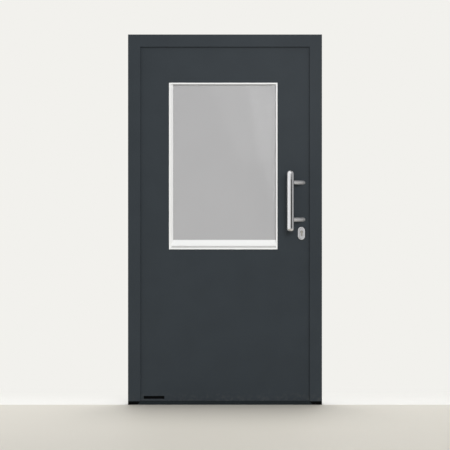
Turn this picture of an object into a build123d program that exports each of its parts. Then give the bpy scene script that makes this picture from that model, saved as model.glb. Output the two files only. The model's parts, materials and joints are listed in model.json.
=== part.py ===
from build123d import *
import os

# Entrance door with a tall window, in its own frame. Sizes are in millimetres.
# X runs to the right as seen from outside, Y runs inwards through the wall and Z runs up.
# The origin is on the floor, midway along the frame's width and depth. The leaf is shut.

# Frame
frame_width = 1100
frame_height = 2100
frame_face = 70
stop_overlap = 15
stop_thickness = 12
shell_wall = 2
rebate_wall = 3.5
outer_shell_depth = 22
break_depth = 16
shell_edge = 1
bar_thickness = 2.2
bar_inset = 4
claw_width = 1.5
claw_height = 2.5
cleat_leg = 100
fixing_radius = 5.25
fixing_end_distance = 200
fixing_count = 3

# Threshold
threshold_height = 18
deck_height = 10
deck_rail_depth = 22
deck_groove_width = 2
deck_groove_depth = 1
deck_groove_pitch = 8
deck_groove_count = 4
end_block_height = 20
end_block_slant = 18
threshold_edge_radius = 2
spigot_height = 12
spigot_clearance = 0.3

# Leaf
leaf_thickness = 65
leaf_gap = 5
leaf_floor_gap = 5
gasket_thickness = 3
gasket_margin = 0.5
gasket_recess = 1
sill_gasket_rise = 3
skin_thickness = 1.2
skin_return = 12
skin_edge = 0.8
stile_width = 70
rail_height = 70
bottom_seal_thickness = 16
bottom_seal_clearance = 0.4
bottom_seal_inset = 7

# Window
trim_width = 616
trim_height = 946
window_offset = -10
window_head_margin = 213
trim_flange_width = 9
trim_flange_thickness = 4
trim_edge = 1
trim_web = 2.5
trim_fit = 0.5
splay_width = 14.6
sill_groove_width = 11.3
sill_groove_floor = 8
sill_slope_height = 34
sill_nose = 1.5
drain_slot_length = 30
drain_slot_width = 2.5
drain_slot_pitch = 220
drain_slot_count = 3
carrier_stop_depth = 10
carrier_lining = 10
glass_edge_gap = 6
glass_cover = 15
glazing_gasket = 3
pane_thickness = 4
pane_gap = 14
pane_count = 3
spacer_width = 7
edge_seal_width = 5
setting_block_length = 100
inner_flange_width = 46
inner_flange_thickness = 4

# Hinges
hinge_count = 3
hinge_floor_distance = 230
hinge_top_distance = 230
hinge_length = 100
hinge_axis_offset = 2.5
hinge_axis_height = 12
knuckle_radius = 11
knuckle_count = 2
knuckle_gap = 1
hinge_pin_radius = 4
hinge_pin_clearance = 0.3
hinge_plate_thickness = 4
hinge_plate_width = 40
hinge_plate_clearance = 1.5
hinge_plate_corner = 3
hinge_tongue_overlap = 2

# Lock
backset = 55
cylinder_height = 980
spindle_rise = 92
lock_depth_offset = 14
faceplate_width = 24
faceplate_thickness = 3
faceplate_bottom_margin = 165
faceplate_top_margin = 160
case_thickness = 16
case_wall = 2
main_case_depth = 87
main_case_below = 75
main_case_above = 32
hook_case_depth = 52
hook_case_below = 80
hook_case_above = 60
hook_low_distance = 170
hook_top_distance = 180
bolt_clearance = 0.3
latch_height = 32
latch_rise = 30
latch_thickness = 10
latch_length = 50
latch_throw = 12
latch_nose = 1.5
deadbolt_height = 36
deadbolt_rise = 36
deadbolt_thickness = 10
deadbolt_length = 42.5
bolt_setback = 0.5
hook_thickness = 8
hook_pivot_depth = 20
hook_reach = 42
hook_half_width = 8
hook_nose_length = 10
hook_nose_width = 8
hook_pivot_radius = 3
hook_slot_margin = 1
rod_width = 14
rod_thickness = 3.5
rod_travel = 20
rod_entry = 20
rod_clearance = 0.5
rod_end_gap = 5
strike_thickness = 2.5
strike_proud = 1
strike_slot_margin = 1
strike_relief = 1
main_strike_length = 200
hook_strike_length = 110

# Cylinder and escutcheons
cylinder_radius = 8.5
cylinder_stem_width = 10
cylinder_stem_drop = 24.5
cylinder_proud = 1
plug_radius = 6.5
plug_clearance = 0.3
cam_width = 9
cam_reach = 15
cam_half_width = 4
keyway_width = 2.4
keyway_height = 8.5
keyway_depth = 4
escutcheon_height = 75
escutcheon_width = 42
escutcheon_thickness = 10
escutcheon_edge = 2
escutcheon_recess = 1
escutcheon_rim = 7
escutcheon_screw_spacing = 56
inner_escutcheon_thickness = 8

# Pull bar and lever
pull_length = 350
pull_radius = 20
pull_setback = 120
pull_rise = 175
pull_standoff = 69
pull_leg_spacing = 210
pull_leg_radius = 12.5
pull_stud_radius = 4
pull_stud_depth = 18
rose_radius = 26
rose_thickness = 9
rose_edge = 2
lever_radius = 10
lever_reach = 125
lever_standoff = 50
lever_socket_margin = 18
lever_end_edge = 1.5
lever_clearance = 0.4
spindle_size = 8
spindle_pocket_half = 8
follower_radius = 12
follower_clearance = 0.4

# Screws
countersink_angle = 90
fastener_sides = 6
screw_radius = 2.1
screw_head_radius = 4
screw_length = 16
strike_screw_inset = 11
faceplate_screw_inset = 18
case_screw_inset = 16
through_screw_radius = 2.5
through_screw_head_radius = 5
through_screw_engagement = 6
cylinder_screw_drop = 20
cylinder_screw_bite = 4


def spaced(count, first, last):
    """Evenly spaced places from first to last."""
    return [first + (last - first) * index / (count - 1) for index in range(count)]


# Faces and edges that the sizes above give
half_width = frame_width / 2
frame_depth = stop_thickness + gasket_thickness + leaf_thickness
outer_y = -frame_depth / 2
inner_y = frame_depth / 2
stop_back_y = outer_y + stop_thickness
outer_shell_back = outer_y + outer_shell_depth
inner_shell_front = outer_shell_back + break_depth
rebate_depth = frame_face - stop_overlap
stop_x = half_width - frame_face
stop_z = frame_height - frame_face
rebate_x = half_width - rebate_depth
rebate_z = frame_height - rebate_depth
leaf_half = rebate_x - leaf_gap
leaf_top = rebate_z - leaf_gap
leaf_bottom = deck_height + leaf_floor_gap
leaf_outer_y = stop_back_y + gasket_thickness
leaf_inner_y = leaf_outer_y + leaf_thickness
body_outer_y = leaf_outer_y + skin_thickness
body_inner_y = leaf_inner_y - skin_thickness
body_half = leaf_half - skin_thickness
body_bottom = leaf_bottom + skin_thickness
body_top = leaf_top - skin_thickness
core_half = body_half - stile_width
fixing_heights = spaced(fixing_count, fixing_end_distance, frame_height - fixing_end_distance)

# Window, measured out from its centre
window_height = leaf_top - window_head_margin - trim_height / 2
flange_half = (trim_width / 2, trim_height / 2)
reveal_half = tuple(half - trim_flange_width for half in flange_half)
web_half = tuple(half + trim_web for half in reveal_half)
skin_hole_half = tuple(half + trim_fit for half in web_half)
glass_half = tuple(half + glass_cover for half in reveal_half)
carrier_hole_half = tuple(half + glass_edge_gap for half in glass_half)
carrier_half = tuple(half + carrier_lining for half in carrier_hole_half)
inner_flange_half = tuple(half + inner_flange_width for half in reveal_half)
trim_front_y = leaf_outer_y - trim_flange_thickness
carrier_stop_back = body_outer_y + carrier_stop_depth
glass_outer_y = carrier_stop_back + glazing_gasket
glass_inner_y = glass_outer_y + pane_count * pane_thickness + (pane_count - 1) * pane_gap
inner_gasket_back = glass_inner_y + glazing_gasket
sight_left = -reveal_half[0] + splay_width
sight_bottom = -reveal_half[1] + sill_groove_width + sill_slope_height

# Hinges
hinge_x = -leaf_half - hinge_axis_offset
hinge_y = inner_y + hinge_axis_height
hinge_heights = spaced(hinge_count, hinge_floor_distance, leaf_top - hinge_top_distance)
plate_edge_offset = knuckle_radius + hinge_plate_clearance

# Lock
lock_x = leaf_half - backset
lock_y = inner_shell_front + lock_depth_offset
faceplate_back = leaf_half - faceplate_thickness
faceplate_bottom = leaf_bottom + faceplate_bottom_margin
faceplate_top = leaf_top - faceplate_top_margin
faceplate_middle = (faceplate_bottom + faceplate_top) / 2
spindle_height = cylinder_height + spindle_rise
latch_height_centre = spindle_height + latch_rise
deadbolt_height_centre = cylinder_height + deadbolt_rise
main_case_bottom = cylinder_height - main_case_below
main_case_top = latch_height_centre + latch_height / 2 + main_case_above
hook_heights = (faceplate_bottom + hook_low_distance, faceplate_top - hook_top_distance)
hook_pivot_x = leaf_half - hook_pivot_depth
hook_slot_bottom = -hook_reach - hook_slot_margin
hook_slot_top = hook_half_width + hook_slot_margin
hook_slot_centre = (hook_slot_bottom + hook_slot_top) / 2
escutcheon_height_centre = cylinder_height + cylinder_radius - (cylinder_radius + cylinder_stem_drop) / 2
main_strike_height = (latch_height_centre + deadbolt_height_centre) / 2
strike_face_x = rebate_x - strike_proud
cylinder_outer_y = leaf_outer_y - escutcheon_thickness - cylinder_proud
cylinder_inner_y = leaf_inner_y + inner_escutcheon_thickness + cylinder_proud
pull_axis_x = leaf_half - pull_setback
pull_axis_y = leaf_outer_y - pull_standoff
pull_centre_height = cylinder_height + pull_rise
pull_leg_heights = [pull_centre_height + step for step in (-pull_leg_spacing / 2, pull_leg_spacing / 2)]
through_screw_length = leaf_thickness + inner_escutcheon_thickness + through_screw_engagement
cylinder_screw_length = backset + cylinder_screw_bite
centred_up = (Align.CENTER, Align.MIN)


def across(y):
    """Plane across the doorway at depth y: X to the right, Z up, facing outside."""
    return Plane.XZ.offset(-y)


def window_plane(y):
    """Plane across the doorway at depth y with its origin at the window's centre."""
    return Plane(origin=(window_offset, y, window_height), x_dir=(1, 0, 0), z_dir=(0, -1, 0))


def edge_plane(x):
    """Plane across the leaf's edge at x: Y to the right, Z up, facing the lock side."""
    return Plane.YZ.offset(x)


def save(piece, name):
    """Label a finished piece and write it to its own file."""
    piece.part.label = name
    export_step(piece.part, f"parts/{name}.step")


def window_ring(outer, inner, front, back):
    """Rectangular ring around the window, from the half sizes outer to inner."""
    with BuildPart() as ring:
        with BuildSketch(window_plane(back)):
            Rectangle(2 * outer[0], 2 * outer[1])
            Rectangle(2 * inner[0], 2 * inner[1], mode=Mode.SUBTRACT)
        extrude(amount=back - front)
    return ring


def draw_leaf_outline(inset):
    """Rectangle of the leaf, drawn in by the inset on every side."""
    with Locations((0, leaf_bottom + inset)):
        Rectangle(2 * (leaf_half - inset), leaf_top - leaf_bottom - 2 * inset, align=centred_up)


def draw_cylinder_profile(clearance):
    """Round and stem profile of the lock cylinder, widened by the clearance."""
    stem_round = cylinder_stem_width / 2
    stem_bottom = cylinder_height - cylinder_stem_drop + stem_round
    with Locations((lock_x, cylinder_height)):
        Circle(cylinder_radius + clearance)
        Rectangle(
            cylinder_stem_width + 2 * clearance,
            cylinder_height - stem_bottom,
            align=(Align.CENTER, Align.MAX),
        )
    with Locations((lock_x, stem_bottom)):
        Circle(stem_round + clearance)


def draw_escutcheon(margin):
    """Upright oval of the escutcheons, drawn in by the margin."""
    with Locations((lock_x, escutcheon_height_centre)):
        SlotOverall(escutcheon_height - 2 * margin, escutcheon_width - 2 * margin, rotation=90)


def draw_lock_pocket():
    """Upright pocket in the leaf for the lock cylinder and the screws on both sides of it."""
    with Locations((lock_x, escutcheon_height_centre)):
        Rectangle(
            2 * (cylinder_radius + plug_clearance),
            escutcheon_screw_spacing + 2 * (through_screw_radius + plug_clearance),
        )


def draw_spindle_pocket():
    """Pocket in the leaf that the handle's spindle turns in."""
    with Locations((lock_x, spindle_height)):
        Rectangle(2 * spindle_pocket_half, 2 * spindle_pocket_half)


def draw_pull_studs():
    """Sections of the studs that hold the pull bar's legs; hidden fasteners have few sides."""
    for height in pull_leg_heights:
        with Locations((pull_axis_x + pull_standoff, height)):
            RegularPolygon(pull_stud_radius, fastener_sides)


def screw(radius, head_radius, length):
    """Countersunk screw with few sides, its head at the origin and its tip down."""
    head_height = head_radius - radius
    with BuildPart() as fastener:
        with BuildSketch(Plane.XY.offset(-head_height)):
            RegularPolygon(radius, fastener_sides)
        extrude(amount=head_height, taper=-countersink_angle / 2)
        extrude(fastener.faces().sort_by(Axis.Z)[0], amount=length - head_height)
    return fastener


def cut_seats(fastener, seats):
    """Cut a fastener's own shape at each of its seats."""
    with Locations(*seats):
        add(fastener.part, mode=Mode.SUBTRACT)


plate_screw = screw(screw_radius, screw_head_radius, screw_length)
through_screw = screw(through_screw_radius, through_screw_head_radius, through_screw_length)
cylinder_screw = screw(through_screw_radius, through_screw_head_radius, cylinder_screw_length)


# Each strike is described by its middle height and its length.
main_strike_place = (main_strike_height, main_strike_length)
hook_strike_places = [(height + hook_slot_centre, hook_strike_length) for height in hook_heights]
strike_places = [main_strike_place] + hook_strike_places
strike_screw_heights = [
    centre + end * (length / 2 - strike_screw_inset) for centre, length in strike_places for end in (-1, 1)
]
strike_seats = [
    Plane(origin=(strike_face_x, lock_y, height), x_dir=(0, 1, 0), z_dir=(-1, 0, 0))
    for height in strike_screw_heights
]

deadbolt_top = deadbolt_height_centre + deadbolt_height / 2
latch_bottom = latch_height_centre - latch_height / 2
case_screw_height = (deadbolt_top + latch_bottom) / 2
faceplate_screw_heights = (
    faceplate_bottom + faceplate_screw_inset,
    hook_heights[0] - hook_case_below + case_screw_inset,
    case_screw_height,
    hook_heights[1] + hook_case_above - case_screw_inset,
    faceplate_top - faceplate_screw_inset,
)
faceplate_seats = [
    Plane(origin=(leaf_half, lock_y, height), x_dir=(0, 1, 0), z_dir=(1, 0, 0))
    for height in faceplate_screw_heights
]
escutcheon_seats = [
    Plane(
        origin=(lock_x, leaf_inner_y + inner_escutcheon_thickness, escutcheon_height_centre + step),
        x_dir=(1, 0, 0),
        z_dir=(0, 1, 0),
    )
    for step in (-escutcheon_screw_spacing / 2, escutcheon_screw_spacing / 2)
]

cylinder_screw_seat = Plane(
    origin=(leaf_half, lock_y, cylinder_height - cylinder_screw_drop),
    x_dir=(0, 1, 0),
    z_dir=(1, 0, 0),
)

# Frame members share two hollow sections, drawn from the member's outer edge inwards.
member_planes = {
    "hinge_jamb": Plane(origin=(-half_width, 0, end_block_height), x_dir=(1, 0, 0), z_dir=(0, 0, 1)),
    "lock_jamb": Plane(origin=(half_width, 0, end_block_height), x_dir=(-1, 0, 0), z_dir=(0, 0, -1)),
    "head": Plane(origin=(-half_width, 0, frame_height), x_dir=(0, 0, -1), z_dir=(1, 0, 0)),
}
member_runs = {
    "hinge_jamb": ((0, 0, 1), frame_height - end_block_height),
    "lock_jamb": ((0, 0, 1), frame_height - end_block_height),
    "head": ((1, 0, 0), frame_width),
}
hinge_mitre = Plane(origin=(-half_width, 0, frame_height), z_dir=(-1, 0, -1))
lock_mitre = Plane(origin=(half_width, 0, frame_height), z_dir=(1, 0, -1))
member_mitres = {
    "hinge_jamb": [(hinge_mitre, Keep.TOP)],
    "lock_jamb": [(lock_mitre, Keep.TOP)],
    "head": [(hinge_mitre, Keep.BOTTOM), (lock_mitre, Keep.BOTTOM)],
}
bar_insets = (bar_inset, rebate_depth - bar_inset - bar_thickness)


def draw_claws(face, direction):
    """Claws that hold both insulating bars, standing on a shell's face towards the other shell."""
    middle = face + direction * claw_height / 2
    for inset in bar_insets:
        for start in (inset - claw_width, inset + bar_thickness):
            with Locations((start + claw_width / 2, middle)):
                Rectangle(claw_width, claw_height)


def outer_shell(member):
    """Outer hollow profile of a frame member, with the stop that the leaf shuts against."""
    direction, length = member_runs[member]
    with BuildPart() as shell:
        with BuildSketch(member_planes[member]) as section:
            Polygon(
                (0, outer_y),
                (frame_face, outer_y),
                (frame_face, stop_back_y),
                (rebate_depth, stop_back_y),
                (rebate_depth, outer_shell_back),
                (0, outer_shell_back),
                align=None,
            )
            offset(amount=-shell_wall, kind=Kind.INTERSECTION, mode=Mode.SUBTRACT)
            chamfer(section.vertices().group_by(Axis.Y)[0], shell_edge)
            draw_claws(outer_shell_back, 1)
        extrude(amount=length, dir=direction)
        for plane, keep in member_mitres[member]:
            split(bisect_by=plane, keep=keep)
    return shell


def inner_shell(member):
    """Inner hollow profile of a frame member; its wall in the rebate is thicker for the hardware."""
    direction, length = member_runs[member]
    with BuildPart() as shell:
        with BuildSketch(member_planes[member]) as section:
            with Locations((0, inner_shell_front)):
                Rectangle(rebate_depth, inner_y - inner_shell_front, align=Align.MIN)
            with Locations((shell_wall, inner_shell_front + shell_wall)):
                Rectangle(
                    rebate_depth - shell_wall - rebate_wall,
                    inner_y - inner_shell_front - 2 * shell_wall,
                    align=Align.MIN,
                    mode=Mode.SUBTRACT,
                )
            chamfer(section.vertices().group_by(Axis.Y)[-1], shell_edge)
            draw_claws(inner_shell_front, -1)
        extrude(amount=length, dir=direction)
        for plane, keep in member_mitres[member]:
            split(bisect_by=plane, keep=keep)
    return shell


fixing_y = (inner_shell_front + inner_y) / 2


def fixing_seats(side):
    """Planes on a jamb's outer edge at the holes that the wall fixings go through."""
    return [
        Plane(origin=(side * half_width, fixing_y, height), x_dir=(0, 1, 0), z_dir=(side, 0, 0))
        for height in fixing_heights
    ]


head_outer_shell = outer_shell("head")
head_inner_shell = inner_shell("head")
hinge_jamb_outer_shell = outer_shell("hinge_jamb")
lock_jamb_outer_shell = outer_shell("lock_jamb")

hinge_jamb_profile = inner_shell("hinge_jamb")
with BuildPart() as hinge_jamb_inner_shell:
    add(hinge_jamb_profile.part)
    with Locations(*fixing_seats(-1)):
        Hole(fixing_radius, depth=rebate_depth)

# Middle height, length and width of the slot that each bolt needs
latch_slot = (latch_height_centre, latch_height, latch_thickness)
deadbolt_slot = (deadbolt_height_centre, deadbolt_height, deadbolt_thickness)
hook_slots = [
    (height + hook_slot_centre, hook_slot_top - hook_slot_bottom, hook_thickness) for height in hook_heights
]
bolt_slots = [latch_slot, deadbolt_slot] + hook_slots


def draw_slots(slots, margin):
    """Slots for the bolts on the lock side's edge, each widened by the margin all round."""
    for centre, length, width in slots:
        with Locations((lock_y, centre)):
            Rectangle(width + 2 * margin, length + 2 * margin)


lock_jamb_profile = inner_shell("lock_jamb")
with BuildPart() as lock_jamb_inner_shell:
    add(lock_jamb_profile.part)
    with Locations(*fixing_seats(1)):
        Hole(fixing_radius, depth=rebate_depth)
    with BuildSketch(edge_plane(rebate_x)):
        for centre, length in strike_places:
            with Locations((lock_y, centre)):
                Rectangle(faceplate_width, length)
    extrude(amount=strike_thickness - strike_proud, mode=Mode.SUBTRACT)
    with BuildSketch(edge_plane(rebate_x)):
        draw_slots(bolt_slots, strike_slot_margin + strike_relief)
    extrude(amount=rebate_wall, mode=Mode.SUBTRACT)
    cut_seats(plate_screw, strike_seats)

with BuildPart() as insulating_bars:
    with BuildSketch(across(inner_shell_front)):
        for inset in bar_insets:
            with Locations((0, end_block_height)):
                Rectangle(2 * (half_width - inset), frame_height - inset - end_block_height, align=centred_up)
                Rectangle(
                    2 * (half_width - inset - bar_thickness),
                    frame_height - inset - bar_thickness - end_block_height,
                    align=centred_up,
                    mode=Mode.SUBTRACT,
                )
    extrude(amount=break_depth)


def draw_cleat(side, breadth):
    """L-shaped corner cleat that fills both hollow members where they meet."""
    x = side * (half_width - shell_wall)
    z = frame_height - shell_wall
    Polygon(
        (x, z),
        (x - side * cleat_leg, z),
        (x - side * cleat_leg, z - breadth),
        (x - side * breadth, z - breadth),
        (x - side * breadth, z - cleat_leg),
        (x, z - cleat_leg),
        align=None,
    )


with BuildPart() as corner_cleats:
    with BuildSketch(across(outer_shell_back - shell_wall)):
        for side in (-1, 1):
            draw_cleat(side, rebate_depth - 2 * shell_wall)
    extrude(amount=outer_shell_depth - 2 * shell_wall)
    with BuildSketch(across(inner_y - shell_wall)):
        for side in (-1, 1):
            draw_cleat(side, rebate_depth - shell_wall - rebate_wall)
    extrude(amount=inner_y - inner_shell_front - 2 * shell_wall)

# Threshold, with ends that slant in over the blocks under the jambs
threshold_foot_x = stop_x + end_block_slant
threshold_top_x = stop_x + end_block_slant * (1 - threshold_height / end_block_height)
deck_rail_back = stop_back_y + deck_rail_depth

with BuildPart() as threshold_rail:
    with BuildSketch(across(stop_back_y)):
        Polygon(
            (-threshold_foot_x, 0),
            (threshold_foot_x, 0),
            (threshold_top_x, threshold_height),
            (-threshold_top_x, threshold_height),
            align=None,
        )
    extrude(amount=stop_thickness)
    fillet(threshold_rail.faces().sort_by(Axis.Z)[-1].edges().filter_by(Axis.X), threshold_edge_radius)
    with BuildSketch(edge_plane(-rebate_x)):
        with Locations((stop_back_y, deck_height)):
            Rectangle(deck_rail_depth, shell_wall, align=(Align.MIN, Align.MAX))
    extrude(amount=2 * rebate_x)
    with BuildSketch(edge_plane(-threshold_foot_x)):
        with Locations((outer_y + shell_wall, shell_wall)):
            Rectangle(
                stop_thickness - 2 * shell_wall,
                threshold_height - 2 * shell_wall,
                align=Align.MIN,
            )
    extrude(amount=2 * threshold_foot_x, mode=Mode.SUBTRACT)

with BuildPart() as threshold_core:
    with BuildSketch(edge_plane(-rebate_x)):
        Polygon(
            (stop_back_y, 0),
            (inner_y, 0),
            (inner_y, deck_height),
            (deck_rail_back, deck_height),
            (deck_rail_back, deck_height - shell_wall),
            (stop_back_y, deck_height - shell_wall),
            align=None,
        )
        groove_middle = (deck_rail_back + inner_y) / 2
        with Locations((groove_middle, deck_height)):
            with GridLocations(deck_groove_pitch, 0, deck_groove_count, 1):
                Rectangle(
                    deck_groove_width,
                    deck_groove_depth,
                    align=(Align.CENTER, Align.MAX),
                    mode=Mode.SUBTRACT,
                )
    extrude(amount=2 * rebate_x)


def end_block(side):
    """Plastic block under a jamb, with spigots that stand up into both hollow shells."""
    with BuildPart() as block:
        with BuildSketch(across(stop_back_y)):
            Polygon(
                (side * half_width, 0),
                (side * half_width, end_block_height),
                (side * stop_x, end_block_height),
                (side * threshold_foot_x, 0),
                align=None,
            )
        extrude(amount=stop_thickness)
        with BuildSketch(across(inner_y)):
            with Locations((side * (half_width - rebate_depth / 2), 0)):
                Rectangle(rebate_depth, end_block_height, align=centred_up)
        extrude(amount=inner_y - stop_back_y)
        with BuildSketch(member_planes["hinge_jamb" if side < 0 else "lock_jamb"]):
            void_start = shell_wall + spigot_clearance
            with Locations((void_start, outer_y + void_start)):
                Rectangle(
                    rebate_depth - 2 * void_start,
                    outer_shell_depth - 2 * void_start,
                    align=Align.MIN,
                )
            with Locations((void_start, inner_shell_front + void_start)):
                Rectangle(
                    rebate_depth - void_start - rebate_wall - spigot_clearance,
                    inner_y - inner_shell_front - 2 * void_start,
                    align=Align.MIN,
                )
        extrude(amount=spigot_height, dir=(0, 0, 1))
    return block


threshold_end_block_hinge_side = end_block(-1)
threshold_end_block_lock_side = end_block(1)

# Gasket on the back of the stop, all round the leaf
with BuildPart() as frame_gasket:
    gasket_bottom = leaf_bottom + gasket_margin
    gasket_sill_top = threshold_height + sill_gasket_rise
    with BuildSketch(across(leaf_outer_y)):
        with Locations((0, gasket_bottom)):
            Rectangle(
                2 * (leaf_half - gasket_margin),
                leaf_top - gasket_margin - gasket_bottom,
                align=centred_up,
            )
        with Locations((0, gasket_sill_top)):
            Rectangle(
                2 * (stop_x + gasket_recess),
                stop_z + gasket_recess - gasket_sill_top,
                align=centred_up,
                mode=Mode.SUBTRACT,
            )
    extrude(amount=gasket_thickness)


def strike_plate(place, slots):
    """Strike plate let into the lock jamb, with a slot for each bolt that enters it."""
    centre, length = place
    with BuildPart() as strike:
        with BuildSketch(edge_plane(strike_face_x)):
            with Locations((lock_y, centre)):
                Rectangle(faceplate_width, length)
        extrude(amount=strike_thickness)
        with BuildSketch(edge_plane(strike_face_x)):
            draw_slots(slots, strike_slot_margin)
        extrude(amount=strike_thickness, mode=Mode.SUBTRACT)
    return strike


main_strike_blank = strike_plate(main_strike_place, [latch_slot, deadbolt_slot])
with BuildPart() as main_strike:
    add(main_strike_blank.part)
    cut_seats(plate_screw, strike_seats[:2])

hook_strike_blanks = [strike_plate(place, [slot]) for place, slot in zip(hook_strike_places, hook_slots)]
with BuildPart() as hook_strikes:
    add([blank.part for blank in hook_strike_blanks])
    cut_seats(plate_screw, strike_seats[2:])

# Hinges: the frame part carries the lower knuckle with the pin, the leaf part the upper one.
knuckle_length = (hinge_length - (knuckle_count - 1) * knuckle_gap) / knuckle_count
knuckle_starts = [
    -hinge_length / 2 + index * (knuckle_length + knuckle_gap) for index in range(knuckle_count)
]


def hinge_part(height, side, surface_y, starts, bore_radius):
    """One half of a hinge: a plate, and a tongue and a knuckle at each start along the axis."""
    tongue_length = plate_edge_offset + hinge_tongue_overlap
    plate_middle = hinge_x + side * (plate_edge_offset + hinge_plate_width / 2)
    with BuildPart() as part:
        with BuildSketch(across(surface_y + hinge_plate_thickness)) as plate:
            with Locations((plate_middle, height)):
                Rectangle(hinge_plate_width, hinge_length)
            chamfer(plate.vertices(), hinge_plate_corner)
            for start in starts:
                with Locations((hinge_x + side * tongue_length / 2, height + start)):
                    Rectangle(tongue_length, knuckle_length, align=centred_up)
        extrude(amount=hinge_plate_thickness)
        for start in starts:
            with BuildSketch(Plane.XY.offset(height + start)):
                with Locations((hinge_x, hinge_y)):
                    Circle(knuckle_radius)
            extrude(amount=knuckle_length)
        with BuildSketch(Plane.XY.offset(height - hinge_length / 2)):
            with Locations((hinge_x, hinge_y)):
                Circle(bore_radius)
        extrude(amount=hinge_length, mode=Mode.SUBTRACT)
    return part


hinge_names = ("lower", "middle", "upper")[:hinge_count]
hinge_places = dict(zip(hinge_names, hinge_heights))
hinge_frame_parts = {}
hinge_leaf_parts = {}
for name, height in hinge_places.items():
    hinge_frame_parts[name] = hinge_part(height, -1, inner_y, knuckle_starts[::2], hinge_pin_radius)
    hinge_leaf_parts[name] = hinge_part(
        height, 1, leaf_inner_y, knuckle_starts[1::2], hinge_pin_radius + hinge_pin_clearance
    )

with BuildPart() as hinge_pins:
    for height in hinge_heights:
        with BuildSketch(Plane.XY.offset(height - hinge_length / 2)):
            with Locations((hinge_x, hinge_y)):
                Circle(hinge_pin_radius)
        extrude(amount=hinge_length)

with BuildPart() as frame_screws:
    with Locations(*strike_seats):
        add(plate_screw.part)

# Leaf
with BuildPart() as leaf_outer_skin:
    with BuildSketch(across(leaf_outer_y + skin_return)):
        draw_leaf_outline(0)
    extrude(amount=skin_return)
    chamfer(leaf_outer_skin.faces().sort_by(Axis.Y)[0].edges(), skin_edge)
    with BuildSketch(across(leaf_outer_y + skin_return)):
        draw_leaf_outline(skin_thickness)
    extrude(amount=skin_return - skin_thickness, mode=Mode.SUBTRACT)
    with BuildSketch(window_plane(body_outer_y)):
        Rectangle(2 * skin_hole_half[0], 2 * skin_hole_half[1])
    extrude(amount=skin_thickness, mode=Mode.SUBTRACT)
    with BuildSketch(across(body_outer_y)):
        draw_lock_pocket()
        draw_pull_studs()
    extrude(amount=skin_thickness, mode=Mode.SUBTRACT)

with BuildPart() as leaf_inner_skin:
    with BuildSketch(across(leaf_inner_y)):
        draw_leaf_outline(0)
    extrude(amount=skin_return)
    chamfer(leaf_inner_skin.faces().sort_by(Axis.Y)[-1].edges(), skin_edge)
    with BuildSketch(across(body_inner_y)):
        draw_leaf_outline(skin_thickness)
    extrude(amount=skin_return - skin_thickness, mode=Mode.SUBTRACT)
    with BuildSketch(window_plane(leaf_inner_y)):
        Rectangle(2 * carrier_hole_half[0], 2 * carrier_hole_half[1])
    extrude(amount=skin_thickness, mode=Mode.SUBTRACT)
    with BuildSketch(across(leaf_inner_y)):
        draw_lock_pocket()
        draw_spindle_pocket()
    extrude(amount=skin_thickness, mode=Mode.SUBTRACT)


def stile(side):
    """Upright of the leaf's inner structure, between the two skins."""
    with BuildPart() as upright:
        with BuildSketch(across(body_inner_y)):
            with Locations((side * (body_half - stile_width / 2), body_bottom)):
                Rectangle(stile_width, body_top - body_bottom, align=centred_up)
        extrude(amount=body_inner_y - body_outer_y)
    return upright


leaf_hinge_stile = stile(-1)

main_case_back = faceplate_back - main_case_depth
case_back_y = lock_y + case_thickness / 2
hook_case_back = faceplate_back - hook_case_depth
rod_back = faceplate_back - rod_thickness - 2 * rod_clearance

# Each rod runs from inside the main case to inside a hook case, short of the hook by its travel.
rod_spans = (
    (hook_heights[0] + hook_slot_top + rod_travel + rod_end_gap, main_case_bottom + rod_entry),
    (main_case_top - rod_entry, hook_heights[1] + hook_slot_bottom - rod_travel - rod_end_gap),
)


def draw_case(back, bottom, top):
    """Side outline of a lock case, from the faceplate back into the leaf."""
    with Locations((back, bottom)):
        Rectangle(faceplate_back - back, top - bottom, align=Align.MIN)


lock_stile_blank = stile(1)
with BuildPart() as leaf_lock_stile:
    add(lock_stile_blank.part)
    with BuildSketch(edge_plane(faceplate_back)):
        with Locations((lock_y, faceplate_middle)):
            Rectangle(faceplate_width, faceplate_top - faceplate_bottom)
    extrude(amount=faceplate_thickness, mode=Mode.SUBTRACT)
    with BuildSketch(across(case_back_y)):
        draw_case(main_case_back, main_case_bottom, main_case_top)
        for height in hook_heights:
            draw_case(hook_case_back, height - hook_case_below, height + hook_case_above)
    extrude(amount=case_thickness, mode=Mode.SUBTRACT)
    with BuildSketch(edge_plane(rod_back)):
        for bottom, top in rod_spans:
            with Locations((lock_y, bottom)):
                Rectangle(rod_width + 2 * rod_clearance, top - bottom, align=centred_up)
    extrude(amount=faceplate_back - rod_back, mode=Mode.SUBTRACT)
    with BuildSketch(across(body_inner_y)):
        draw_lock_pocket()
    extrude(amount=body_inner_y - body_outer_y, mode=Mode.SUBTRACT)
    with BuildSketch(across(body_inner_y)):
        draw_spindle_pocket()
    extrude(amount=body_inner_y - case_back_y, mode=Mode.SUBTRACT)
    with BuildSketch(across(body_outer_y)):
        draw_pull_studs()
    extrude(amount=-pull_stud_depth + skin_thickness, mode=Mode.SUBTRACT)
    cut_seats(plate_screw, faceplate_seats)

with BuildPart() as leaf_rails:
    with BuildSketch(across(body_inner_y)):
        for bottom in (body_bottom, body_top - rail_height):
            with Locations((0, bottom)):
                Rectangle(2 * core_half, rail_height, align=centred_up)
    extrude(amount=body_inner_y - body_outer_y)

with BuildPart() as leaf_core:
    with BuildSketch(across(body_inner_y)):
        with Locations((0, body_bottom + rail_height)):
            Rectangle(2 * core_half, body_top - body_bottom - 2 * rail_height, align=centred_up)
    extrude(amount=body_inner_y - body_outer_y)
    with BuildSketch(window_plane(body_inner_y)):
        Rectangle(2 * carrier_half[0], 2 * carrier_half[1])
    extrude(amount=body_inner_y - body_outer_y, mode=Mode.SUBTRACT)
    with BuildSketch(across(case_back_y)):
        draw_case(main_case_back, main_case_bottom, main_case_top)
    extrude(amount=case_thickness, mode=Mode.SUBTRACT)

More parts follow.
